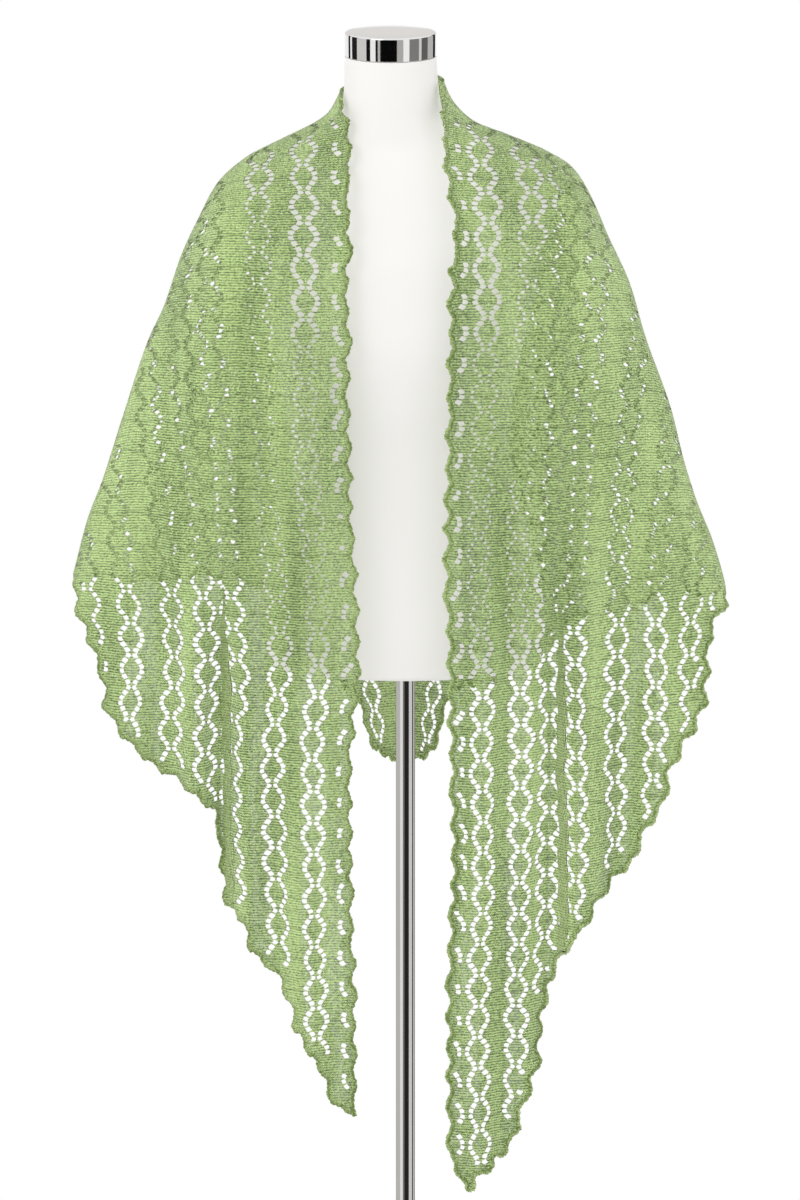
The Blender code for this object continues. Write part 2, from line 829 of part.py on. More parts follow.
def make_stand(chrome):
    crown = FORM_SECTIONS[-1][0]
    foot = FORM_SECTIONS[0][0]
    turned("neck_cap", [
        (0, crown + GAP),
        (CAP_RADIUS, crown + GAP),
        (CAP_RADIUS, crown + CAP_HEIGHT - CAP_ROUNDING),
        (CAP_RADIUS - CAP_ROUNDING * 0.4, crown + CAP_HEIGHT - CAP_ROUNDING * 0.4),
        (CAP_RADIUS - CAP_ROUNDING, crown + CAP_HEIGHT),
        (0, crown + CAP_HEIGHT),
    ], chrome, (form_centre(crown), 0.0))
    pole_top = foot + POLE_SOCKET_DEPTH - GAP
    turned("pole", [
        (0, POLE_FOOT + GAP),
        (POLE_RADIUS, POLE_FOOT + GAP),
        (POLE_RADIUS, pole_top),
        (0, pole_top),
    ], chrome)
    socket = POLE_RADIUS + GAP
    turned("base_plate", [
        (0, 0),
        (BASE_RADIUS - BASE_CHAMFER, 0),
        (BASE_RADIUS, BASE_CHAMFER),
        (BASE_RADIUS, BASE_EDGE_HEIGHT - BASE_CHAMFER),
        (BASE_RADIUS - BASE_CHAMFER, BASE_EDGE_HEIGHT),
        (COLLAR_RADIUS + BASE_CHAMFER, BASE_CENTRE_HEIGHT),
        (COLLAR_RADIUS, BASE_CENTRE_HEIGHT + BASE_CHAMFER),
        (COLLAR_RADIUS, COLLAR_TOP - BASE_CHAMFER / 2),
        (COLLAR_RADIUS - BASE_CHAMFER / 2, COLLAR_TOP),
        (socket, COLLAR_TOP),
        (socket, POLE_FOOT),
        (0, POLE_FOOT),
    ], chrome)


def main():
    clear_scene()
    knit = material("knit", (0.36, 0.47, 0.22), 0.9)
    shell = material("form_shell", (0.90, 0.88, 0.86), 0.55)
    chrome = material("chrome", (0.80, 0.80, 0.80), 0.12, 1.0)
    left = HalfWrap(-1, RIDGE_LEFT, FRONT_EDGE_LEFT, FRONT_HEM_LEFT, BACK_HEM_LEFT,
                    FRONT_FOLDS_LEFT, BACK_FOLDS_LEFT)
    right = HalfWrap(1, RIDGE_RIGHT, FRONT_EDGE_RIGHT, FRONT_HEM_RIGHT, BACK_HEM_RIGHT,
                     FRONT_FOLDS_RIGHT, BACK_FOLDS_RIGHT)
    cut = make_half("wrap_left", left, knit, EYELET_LIMIT)
    make_half("wrap_right", right, knit, EYELET_LIMIT - cut)
    make_form(shell)
    make_stand(chrome)


main()
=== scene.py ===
# Looks of the lace wrap on its dress form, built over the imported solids.
# Metres, +Z up. The foot of the pole is the origin and the front of the form faces -Y.
import math

import bpy
import numpy as np
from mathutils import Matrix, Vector


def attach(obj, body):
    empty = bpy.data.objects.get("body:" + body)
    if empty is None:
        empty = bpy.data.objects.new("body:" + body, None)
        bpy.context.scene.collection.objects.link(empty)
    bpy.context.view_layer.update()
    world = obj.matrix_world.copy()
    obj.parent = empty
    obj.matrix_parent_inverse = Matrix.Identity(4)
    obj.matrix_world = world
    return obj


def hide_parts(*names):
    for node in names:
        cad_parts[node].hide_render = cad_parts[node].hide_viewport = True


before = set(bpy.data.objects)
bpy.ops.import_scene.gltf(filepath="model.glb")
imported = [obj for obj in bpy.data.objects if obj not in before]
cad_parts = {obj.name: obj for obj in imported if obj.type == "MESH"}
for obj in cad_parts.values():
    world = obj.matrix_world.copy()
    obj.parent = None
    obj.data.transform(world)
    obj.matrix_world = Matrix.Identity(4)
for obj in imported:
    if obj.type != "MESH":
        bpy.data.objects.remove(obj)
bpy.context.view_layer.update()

# The cloth's layout, as in the solids
WRAP_CENTRE_X = -0.003
CENTRE_BACK_COLUMN = 0.022
FRONT_EDGE_COLUMN = 0.055
CORNER_DROP = 0.012
RIDGE_SAMPLES = 600
FOLD_ONSET = 0.45
DEPTH_BLEND = 4.0

# The knit's repeat: columns of lace diamonds with plain knitting between them
CHAIN_SPACING = 0.0475
BACK_CHAINS = [0.0780, 0.1255, 0.1730, 0.2205, 0.2680, 0.3155, 0.3630, 0.4105]
CHAINS = {
    # column of each chain of diamonds, uneven where the cloth gathers in folds
    "front_left": [0.057, 0.1025, 0.1520, 0.2055, 0.2400, 0.2825, 0.3370, 0.3850],
    "front_right": [0.057, 0.0940, 0.1420, 0.1780, 0.2120, 0.2635, 0.3125, 0.3570, 0.3950],
    "back_left": BACK_CHAINS,
    "back_right": BACK_CHAINS,
}
DIAMOND_PERIOD = 0.0348
LACE_ROWS = 6
HOLE_WIDTH = 0.0061
HOLE_HEIGHT = 0.0048
HOLE_TILT = 0.55
HOLE_INSET = 0.0052
CORNER_ROUNDING = 0.11
# How far the two lines of holes stand from the middle of their chain, row by row down the diamond
LACE_OFFSETS = [0.0035, 0.0086, 0.0128, 0.0134, 0.0098, 0.0050]
MIDDLE_CELLS = 4
PANEL_CELLS = 7
REPEAT_CELLS = 6 + MIDDLE_CELLS - 1 + PANEL_CELLS - 1
YARN_SCATTER = 0.00016
CLOTH_THICKNESS = 0.0009
STITCH_WIDTH = 0.0027
STITCH_HEIGHT = 0.0029

# Where the holes are drawn together: by how much, above which height and in which columns
CLOSED_ON_FORM = 0.44
CLOSED_DOUBLE = 0.11
CLOSED_ABOVE = 0.94
CLOSED_FADE = 0.06
FORM_COLUMNS = 0.17
EDGE_COLUMNS = 0.07
CHEST_ABOVE = 1.27
CHEST_FADE = 0.05
CHEST_COLUMNS = 0.10
CHEST_SLOPE = 3.0

# Waves: size, then radians for a metre across, a metre up, the layer's shift and the sway
LIMP_WAVES = [(0.0011, 74, 0, 1.0, 1.3), (0.0008, 121, -13, 2.1, 0), (0.0009, 38, 31, 0.7, 0)]
LIMP_SHIFT = 1.7
LIMP_SWAY = 9
RIDGE_FADE = 0.25
CENTRE_FADE = 0.05
UNEVENNESS = 0.0013
COLUMN_WANDER = [(1.0, 33, 21, 1, 0), (0.8, -71, 58, 2, 0)]
ROW_WANDER = [(1.0, 47, 11, 1, 0), (0.7, 93, 0, 3, 0)]

# The rim and its scallops
RIM_STEP = 0.0015
RIM_SMOOTHING = 9
SCALLOP_LENGTH = 0.036
SCALLOP_DEPTH = 0.0078
SCALLOP_SIZES = (0.65, 1.15)
SCALLOP_POINTEDNESS = (0.2, 1.0)
SCALLOP_ROUNDNESS = 0.8
SCALLOP_DRIFT = [(0.004, 31, 0, 1, 0)]
RAGGED_WAVES = [(0.0007, 700, 0, 0, 3), (0.0006, 1230, 0, 0, 0)]
RAGGED_SWAY = 90
RIM_INSET = 0.0040
BAND_TAPER = 0.014
BAND_THINNEST = 0.3
BAND_OVERLAP = 0.55
RIM_BAND = 0.0027
RIM_BAND_THICKNESS = 0.0017
BAND_SIDES = 10
RUFFLE_DEPTH = 0.0020
RUFFLE_REACH = 0.016
RUFFLE_WAVES = [(1.0, 2 * math.pi / SCALLOP_LENGTH, 0, 1, 0), (0.5, 61, 0, 2, 0)]

# The flat map of a layer
GRID_STEP = 0.002
GRID_FLOOR = 0.28
GRID_MARGIN = 0.008
PATH_SAMPLES = 500

# The pleat that hangs along the deepest fold of each front
PLEATS = {
    # out at top, out at foot, top, foot
    "left": (0.196, 0.190, 1.02, 0.66),
    "right": (0.172, 0.176, 1.00, 0.60),
}
PLEAT_HALF_WIDTH = 0.0055
PLEAT_LIFT = 0.0016
PLEAT_ROWS = 160
PLEAT_LINES = 9
PLEAT_TAPER = 0.12
PLEAT_THINNEST = 0.25
PLEAT_ABOVE_HEM = 0.002
PLEAT_WAVES = [(0.0010, 0, 60, 0, 0), (0.0010, 0, 137, 0, 0)]

# Random seeds of each half's front and back layer
SEEDS = {"left": (11, 23), "right": (16, 28)}

# The form and its stand
FORM_ROWS = 90
SKIN_SIDES = 128
FOOT_ROUNDING = 0.006
FOOT_CLEAR = 0.0072
FOOT_ROWS = 7
CAP_RADIUS = 0.0500
CAP_HEIGHT = 0.0265
CAP_ROUNDING = 0.0020
CAP_ROUNDING_ROWS = 5
CAP_FOOT = [(0.0494, 0.0003), (0.0500, 0.0010)]
CAP_TOP = [(0.0300, 0.0267), (0.0020, 0.0269)]
FORM_SHARP = 40
TURNED_SHARP = 30
POLE_PROFILE = [(0.0105, 0.0045), (0.0105, 0.9720)]
BASE_PROFILE = [
    # radius, height
    (0.1625, 0.0000), (0.1645, 0.0008), (0.1650, 0.0020), (0.1650, 0.0042),
    (0.1642, 0.0055), (0.1625, 0.0061), (0.0260, 0.0090), (0.0225, 0.0100),
    (0.0212, 0.0120), (0.0210, 0.0160), (0.0210, 0.0535), (0.0204, 0.0546),
    (0.0190, 0.0550), (0.0108, 0.0550),
]

# The knit's finish: yarn colours, running from painted shade to painted highlight, noise scales, and
# what the stitch's painted shade, the ply's mottling and the painted shade of folds add to the tone
YARN_LIGHT = (0.72, 0.93, 0.39, 1)
YARN_DARK = (0.026, 0.074, 0.006, 1)
EDGING_LIGHT = (0.58, 0.74, 0.32, 1)
EDGING_DARK = (0.12, 0.19, 0.035, 1)
STITCH_SLANT = 0.6
STITCH_RELIEF = 0.6
LEG_ROUNDNESS = 0.6
KNIT_RELIEF = 0.0006
STITCH_DRIFT = 0.9
DRIFT_SCALE = 160.0
PLY_SCALE = 430.0
FOLD_SCALE = 26.0
FOLD_STRETCH = (1.0, 1.0, 0.12)
STITCH_PAINTED_SHADE = 0.75
PLY_TONE = 0.90
FOLD_PAINTED_SHADE = 0.28
TONE_RANGE = (0.75, 1.11)
ROW_SHADE = 0.35
ROW_HALF_WIDTH = 0.05
ROW_BOW = 0.06
ROW_BOW_RATE = 0.36
PLY_RELIEF = 0.3
PLY_IN_PORES = 0.35
PORES = 0.43
PORE_EDGE = 0.08

# Light let through the weave on the form, and more where it hangs clear: from none to all of it
LIGHT_LET_THROUGH = 0.05
EXTRA_LIGHT = 0.83
BESIDE_FORM = (0.12, 0.20)
BETWEEN_EDGES = (0.11, 0.08)
BELOW_FORM = (0.95, 0.88)
OVER_SHOULDER = (1.27, 1.33)
SHOULDER_SHARE = 0.8

# The other finishes
SHELL_TONES = ((0.91, 0.895, 0.87, 1), (0.90, 0.885, 0.865, 1))
SHELL_RELIEF = 0.00008
CLOUD_SCALE = 9.0
GRAIN_SCALE = 700.0
HAZE_SCALE = 60.0
CHROME_TONES = ((0.84, 0.84, 0.83, 1), (0.78, 0.78, 0.78, 1))
FLOOR_TONE = (0.86, 0.86, 0.86, 1)

# What the chrome mirrors: from angle, to angle, grey
CAP_CARDS = [
    (-131, -121, 30), (-113, -93, 40), (-93, -63, 215), (-63, -52, 25), (-38, -32, 30),
    (-32, -26, 190), (-26, 16, 20), (16, 32, 180), (48, 76, 130), (76, 84, 220),
    (84, 107, 100), (107, 134, 190), (134, 151, 30),
]
POLE_CARDS = [
    (-180, -150, 130), (-150, -68, 192), (-68, -31, 235), (-31, -12, 118), (-12, 42, 44),
    (42, 80, 214), (84, 110, 95), (110, 138, 205), (138, 180, 95),
]
CARD_RINGS = [
    # name, cards, radius, low, high
    ("cap card", CAP_CARDS, 6.0, 0.0, 4.0),
    ("pole card", POLE_CARDS, 0.45, 0.02, 0.92),
    ("cap top card", [(120, 240, 226)], 7.0, 1.9, 5.0),
]
CARD_ARC = 4
CARD_WARMTH = 0.03
SCREEN_GAMMA = 2.2

# Light and camera
KEY_ENERGY = 30
KEY_SIZE = (2.4, 2.0)
KEY_PLACE = (-2.6, -3.4, 4.2)
KEY_AIM = (2.6, 3.4, -3.1)
CAMERA_PLACE = (-0.006, -12.0, 3.45)
CAMERA_PITCH = 11.61
CAMERA_LENS = 334.1
CAMERA_SENSOR = 36

# Ridge of the wrap seen from the front: distance outward and height
RIDGE_LEFT = [
    (0.068, 1.550), (0.080, 1.528), (0.092, 1.518), (0.131, 1.498), (0.171, 1.477),
    (0.202, 1.449), (0.223, 1.410), (0.242, 1.369), (0.261, 1.313), (0.278, 1.276),
    (0.307, 1.189), (0.329, 1.120), (0.346, 1.075), (0.358, 1.030), (0.365, 1.002),
]
RIDGE_RIGHT = [
    (0.044, 1.562), (0.053, 1.542), (0.076, 1.518), (0.115, 1.502), (0.157, 1.484),
    (0.184, 1.467), (0.203, 1.439), (0.224, 1.391), (0.248, 1.338), (0.265, 1.280),
    (0.294, 1.198), (0.308, 1.142), (0.322, 1.097), (0.340, 1.052), (0.353, 1.008),
    (0.357, 0.988),
]

# Front edges: height and distance outward
FRONT_EDGE_LEFT = [
    (0.430, 0.052), (0.585, 0.054), (0.765, 0.058), (0.845, 0.057), (0.930, 0.050),
    (1.020, 0.052), (1.120, 0.057), (1.232, 0.060), (1.506, 0.059), (1.550, 0.068),
]
FRONT_EDGE_RIGHT = [
    (0.370, 0.052), (0.563, 0.050), (0.720, 0.055), (0.899, 0.052), (1.033, 0.048),
    (1.232, 0.050), (1.430, 0.054), (1.500, 0.044), (1.562, 0.044),
]

# Hem of each front: distance outward and height
FRONT_HEM_LEFT = [
    (0.050, 0.437), (0.062, 0.440), (0.071, 0.447), (0.086, 0.480), (0.116, 0.533),
    (0.129, 0.570), (0.145, 0.600), (0.169, 0.622), (0.174, 0.646), (0.194, 0.666),
    (0.200, 0.711), (0.203, 0.756), (0.211, 0.776), (0.233, 0.796), (0.273, 0.818),
    (0.314, 0.862), (0.324, 0.879), (0.327, 0.903), (0.343, 0.949), (0.361, 0.988),
    (0.365, 1.000),
]
FRONT_HEM_RIGHT = [
    (0.048, 0.395), (0.058, 0.375), (0.071, 0.352), (0.083, 0.369), (0.119, 0.400),
    (0.127, 0.426), (0.138, 0.466), (0.149, 0.492), (0.152, 0.530), (0.156, 0.558),
    (0.173, 0.610), (0.193, 0.639), (0.220, 0.678), (0.249, 0.708), (0.260, 0.724),
    (0.265, 0.747), (0.286, 0.779), (0.290, 0.806), (0.298, 0.826), (0.326, 0.871),
    (0.333, 0.896), (0.335, 0.928), (0.339, 0.961), (0.352, 0.980), (0.357, 0.987),
]

# Hem of the back, down to the point behind the pole: distance outward and height
BACK_HEM_LEFT = [
    (0.000, 0.778), (0.010, 0.780), (0.022, 0.788), (0.034, 0.797), (0.047, 0.835),
    (0.090, 0.886), (0.130, 0.944), (0.171, 0.984), (0.236, 0.991), (0.283, 0.993),
    (0.365, 1.001),
]
BACK_HEM_RIGHT = [
    (0.000, 0.778), (0.014, 0.781), (0.026, 0.788), (0.037, 0.801), (0.045, 0.828),
    (0.055, 0.852), (0.100, 0.870), (0.160, 0.909), (0.189, 0.940), (0.226, 0.954),
    (0.252, 0.960), (0.292, 0.979), (0.357, 0.986),
]

# How closely the columns hang together: height and share of their flat spacing
FRONT_FAN = [
    (0.40, 0.85), (0.66, 0.85), (0.90, 0.87), (1.05, 0.90), (1.20, 0.95), (1.35, 1.00),
]
BACK_FAN = [
    (0.775, 0.46), (0.810, 0.50), (0.858, 0.64), (0.920, 0.80), (1.000, 0.965), (1.150, 1.00),
]
BACK_FAN_DROP = 0.25

# How far the cloth stands out before and behind the ridge: distance outward and depth
FRONT_DEPTH = [
    (0.00, 0.131), (0.12, 0.131), (0.18, 0.118), (0.24, 0.100), (0.30, 0.085), (0.40, 0.070),
]
BACK_DEPTH = [
    (0.00, 0.128), (0.12, 0.125), (0.20, 0.112), (0.30, 0.080), (0.40, 0.065),
]
ROOF = [
    # column, radius at the ridge, slope below it
    (0.022, 0.030, 0.70), (0.055, 0.030, 0.70), (0.100, 0.050, 0.60), (0.160, 0.055, 0.50),
    (0.200, 0.045, 0.45), (0.240, 0.022, 0.40), (0.300, 0.012, 0.35), (0.400, 0.010, 0.33),
]
NECK_BACK_DEPTH = 0.066
NECK_BACK_HEIGHT = 1.565

# Soft folds: out at top, out at foot, top, foot, depth (minus for a trough), half width
FRONT_FOLDS_LEFT = [
    (0.196, 0.200, 1.10, 0.60, -0.030, 0.020),
    (0.225, 0.226, 1.12, 0.70, 0.016, 0.022),
    (0.152, 0.140, 1.36, 0.62, -0.012, 0.022),
    (0.118, 0.108, 1.20, 0.45, 0.008, 0.024),
    (0.272, 0.262, 1.26, 0.80, -0.012, 0.024),
    (0.318, 0.300, 1.16, 0.84, 0.010, 0.022),
]
FRONT_FOLDS_RIGHT = [
    (0.168, 0.158, 1.12, 0.58, -0.026, 0.020),
    (0.200, 0.190, 1.18, 0.60, 0.014, 0.022),
    (0.128, 0.112, 1.34, 0.50, -0.010, 0.022),
    (0.092, 0.086, 1.15, 0.40, 0.008, 0.022),
    (0.246, 0.240, 1.26, 0.70, -0.013, 0.024),
    (0.296, 0.284, 1.18, 0.78, 0.010, 0.024),
]
BACK_FOLDS_LEFT = [
    (0.045, 0.030, 1.30, 0.80, -0.010, 0.020),
    (0.110, 0.070, 1.34, 0.84, 0.012, 0.026),
    (0.170, 0.140, 1.36, 0.90, -0.014, 0.026),
    (0.235, 0.215, 1.30, 0.95, 0.012, 0.026),
    (0.292, 0.285, 1.20, 0.96, -0.010, 0.024),
]
BACK_FOLDS_RIGHT = [
    (0.052, 0.034, 1.26, 0.80, -0.011, 0.022),
    (0.122, 0.080, 1.36, 0.82, 0.011, 0.026),
    (0.186, 0.152, 1.32, 0.88, -0.015, 0.026),
    (0.250, 0.226, 1.28, 0.93, 0.011, 0.026),
    (0.305, 0.296, 1.16, 0.96, -0.009, 0.022),
]

# Sections of the dress form
FORM_SECTIONS = [
    # height, half width, front depth, back depth
    (0.9130, 0.150, 0.098, 0.105), (0.9600, 0.156, 0.101, 0.112),
    (1.0200, 0.150, 0.097, 0.107), (1.1000, 0.130, 0.090, 0.092),
    (1.1600, 0.121, 0.088, 0.085), (1.2200, 0.127, 0.097, 0.087),
    (1.3000, 0.147, 0.111, 0.096), (1.3600, 0.160, 0.107, 0.101),
    (1.4100, 0.175, 0.091, 0.097), (1.4400, 0.180, 0.079, 0.088),
    (1.4650, 0.168, 0.068, 0.078), (1.4852, 0.136, 0.058, 0.068),
    (1.4990, 0.098, 0.051, 0.060), (1.5130, 0.070, 0.049, 0.055),
    (1.5300, 0.0550, 0.048, 0.051), (1.5600, 0.0512, 0.049, 0.050),
    (1.5895, 0.0500, 0.050, 0.050),
]
FORM_FOOT = FORM_SECTIONS[0][0]
FORM_CROWN = FORM_SECTIONS[-1][0]
FORM_LEAN = -0.0143
FORM_CENTRE_X = -0.0020
LEVEL_FOOT = 0.10
LEVEL_CROWN = 0.06


def smooth_table(table, at, index=1):
    """A smooth curve through a table's rows that never swings past them."""
    x, y = np.array([(row[0], row[index]) for row in table]).T
    at = np.clip(at, x[0], x[-1])
    step = np.diff(x)
    slope = np.diff(y) / step
    tangent = np.zeros_like(y)
    same_way = slope[:-1] * slope[1:] > 0
    harmonic = 2 * slope[:-1] * slope[1:] / np.where(same_way, slope[:-1] + slope[1:], 1)
    tangent[1:-1] = np.where(same_way, harmonic, 0)
    tangent[0] = slope[0]
    tangent[-1] = slope[-1]
    k = np.clip(np.searchsorted(x, at, side="right") - 1, 0, len(step) - 1)
    t = (at - x[k]) / step[k]
    rise = y[k] * (1 + 2 * t) * (1 - t) ** 2 + y[k + 1] * t * t * (3 - 2 * t)
    lift = tangent[k] * t * (1 - t) ** 2 - tangent[k + 1] * t * t * (1 - t)
    return rise + step[k] * lift


def ease(t):
    t = np.clip(t, 0, 1)
    return t * t * (3 - 2 * t)


def soft_least(a, b):
    """The smaller of two depths, blended where they cross."""
    a = np.maximum(a, 1e-6)
    return (a ** -DEPTH_BLEND + b ** -DEPTH_BLEND) ** (-1 / DEPTH_BLEND)


def waves(rows, across, up, shift, sway=0):
    """The sum of sine waves given as rows of a table."""
    return sum(size * np.sin(across * wide + up * high + shift * late + sway * bend)
               for size, wide, high, late, bend in rows)


def lengths(line):
    """How far along a line each of its points lies."""
    return np.concatenate([[0], np.cumsum(np.linalg.norm(np.diff(line, axis=0), axis=1))])


def fold_depth(folds, out, height):
    """How far folds that begin softly and run down the cloth push it out."""
    depth = 0
    for out_top, out_foot, top, foot, amount, width in folds:
        along = np.clip((top - height) / (top - foot), 0, 1)
        centre = out_top + (out_foot - out_top) * along
        strength = ease((top - height) / (FOLD_ONSET * (top - foot)))
        depth = depth + amount * strength * np.exp(-((out - centre) / width) ** 2)
    return depth


class HalfWrap:
    """One half of the wrap as a surface over columns of knitting and the drop below the ridge."""

    def __init__(self, word, side, ridge, edge, front_hem, back_hem, front_folds, back_folds):
        self.word = word
        self.side = side
        self.edge = edge
        self.front_hem = front_hem
        self.back_hem = back_hem
        self.front_folds = front_folds
        self.back_folds = back_folds
        self.neck_out = ridge[0][0]
        self.neck_height = ridge[0][1]
        height = np.linspace(ridge[0][1], ridge[-1][1], RIDGE_SAMPLES)
        falling = [(row[1], row[0]) for row in reversed(ridge)]
        out = smooth_table(falling, height)
        column = FRONT_EDGE_COLUMN + (out - self.edge_out(height)) / smooth_table(FRONT_FAN, height)
        self.ridge_column = np.maximum.accumulate(column)
        self.ridge_height = height
        self.ridge_out = out
        corner = ridge[-1][1] + CORNER_DROP
        self.last_column = float(np.interp(-corner, -height, self.ridge_column))

    def edge_out(self, height):
        return smooth_table(self.edge, height)

    def top(self, column):
        """Height, distance outward and depth of a column's upper end."""
        column = np.asarray(column, dtype=float)
        height = np.interp(column, self.ridge_column, self.ridge_height)
        out = np.interp(column, self.ridge_column, self.ridge_out)
        around = (column - CENTRE_BACK_COLUMN) / (FRONT_EDGE_COLUMN - CENTRE_BACK_COLUMN)
        around = np.clip(around, 0, 1)
        behind = NECK_BACK_DEPTH * np.sqrt(1 - around ** 2)
        on_neck = self.neck_height + (NECK_BACK_HEIGHT - self.neck_height) * (1 - around ** 2)
        back = column < FRONT_EDGE_COLUMN
        height = np.where(back, on_neck, height)
        out = np.where(back, around * self.neck_out, out)
        return height, out, np.where(back, behind, 0)

    def front_out(self, column, height):
        spread = smooth_table(FRONT_FAN, height)
        return self.edge_out(height) + (column - FRONT_EDGE_COLUMN) * spread

    def back_out(self, column, height):
        top, out, _ = self.top(column)
        gathered = (column - CENTRE_BACK_COLUMN) * smooth_table(BACK_FAN, height)
        return out + (gathered - out) * ease((top - height) / BACK_FAN_DROP)

    def point(self, column, drop, front):
        """A point of the middle of the cloth, at a drop below the top of its column."""
        top, _, start = self.top(np.maximum(column, FRONT_EDGE_COLUMN) if front else column)
        height = top - drop
        radius = smooth_table(ROOF, column, 1)
        slope = smooth_table(ROOF, column, 2)
        reach = np.sqrt(start ** 2 + 2 * radius * drop + (slope * drop) ** 2)
        out = self.front_out(column, height) if front else self.back_out(column, height)
        limit = smooth_table(FRONT_DEPTH if front else BACK_DEPTH, out)
        limit = limit + fold_depth(self.front_folds if front else self.back_folds, out, height)
        depth = soft_least(reach, limit)
        return np.stack([out, -depth if front else depth, height], axis=-1)


class Layer:
    """One hanging layer laid flat: across in metres of column, up in metres of cloth."""

    def __init__(self, half, front, seed):
        self.name = ("front_" if front else "back_") + half.word
        self.half = half
        self.front = front
        self.seed = seed
        self.first = FRONT_EDGE_COLUMN if front else CENTRE_BACK_COLUMN
        start = self.first - (GRID_MARGIN if front else 0)
        self.columns = np.arange(start, half.last_column + GRID_MARGIN, GRID_STEP)
        paths, ups, hems = zip(*[self.lay_flat(column) for column in self.columns])
        self.tops = np.array([up[1] for up in ups])
        self.hems = np.array(hems)
        self.ups = np.arange(GRID_FLOOR, self.tops.max() + GRID_MARGIN, GRID_STEP)
        places = np.array([[np.interp(self.ups, up[::-1], path[::-1, axis]) for axis in range(3)]
                           for path, up in zip(paths, ups)])
        self.places = places.transpose(0, 2, 1)
        self.places = self.places + self.facing() * self.limp_waves()[:, :, None]
        self.normals = self.facing()

    def lay_flat(self, column):
        """A column's path from above the ridge down, its height along the cloth, and its hem."""
        half = self.half
        top = float(half.top(max(column, self.first))[0])
        drops = (top - GRID_FLOOR) * np.linspace(0, 1, PATH_SAMPLES) ** 2
        path = half.point(np.full(PATH_SAMPLES, column), drops, self.front)
        table = half.front_hem if self.front else half.back_hem
        below = np.nonzero(path[:, 2] < smooth_table(table, np.maximum(path[:, 0], 0)))[0]
        hem_at = below[0] if len(below) else PATH_SAMPLES - 1
        up = np.linalg.norm(np.diff(path, axis=0), axis=1)
        up = GRID_FLOOR + np.concatenate([np.cumsum(up[::-1])[::-1], [0]])
        onward = path[0] - path[2]
        onward = onward / np.linalg.norm(onward) * GRID_MARGIN
        path = np.vstack([path[0] + onward, path])
        return path, np.concatenate([[up[0] + GRID_MARGIN], up]), up[hem_at]

    def facing(self):
        """The way that the cloth faces at each point of the grid."""
        across = np.gradient(self.places, axis=0)
        upward = np.gradient(self.places, axis=1)
        normals = np.cross(across, upward) if self.front else np.cross(upward, across)
        size = np.linalg.norm(normals, axis=2)
        return normals / np.maximum(size, 1e-12)[:, :, None]

    def limp_waves(self):
        """Small uneven waves of limp knitting, fading out towards the shoulder ridge."""
        across = self.columns[:, None]
        up = self.ups[None, :]
        shift = self.seed * LIMP_SHIFT
        wave = waves(LIMP_WAVES, across, up, shift, np.sin(up * LIMP_SWAY + shift))
        wave = wave * ease((self.tops[:, None] - up) / RIDGE_FADE)
        return wave if self.front else wave * ease((across - CENTRE_BACK_COLUMN) / CENTRE_FADE)

    def sample(self, grid, across, up):
        x = np.clip((across - self.columns[0]) / GRID_STEP, 0, len(self.columns) - 1.001)
        y = np.clip((up - GRID_FLOOR) / GRID_STEP, 0, len(self.ups) - 1.001)
        i = x.astype(int)
        j = y.astype(int)
        x = (x - i)[:, None]
        y = (y - j)[:, None]
        low = grid[i, j] * (1 - x) + grid[i + 1, j] * x
        high = grid[i, j + 1] * (1 - x) + grid[i + 1, j + 1] * x
        return low * (1 - y) + high * y

    def place(self, flat, lift=0.0):
        """Points in the room from points of the flat map, lifted off the cloth."""
        place = self.sample(self.places, flat[:, 0], flat[:, 1])
        normal = self.sample(self.normals, flat[:, 0], flat[:, 1])
        normal = normal / np.linalg.norm(normal, axis=1)[:, None]
        place = place + normal * np.reshape(lift, (-1, 1))
        place[:, 0] = WRAP_CENTRE_X + self.half.side * place[:, 0]
        normal[:, 0] *= self.half.side
        return place, normal


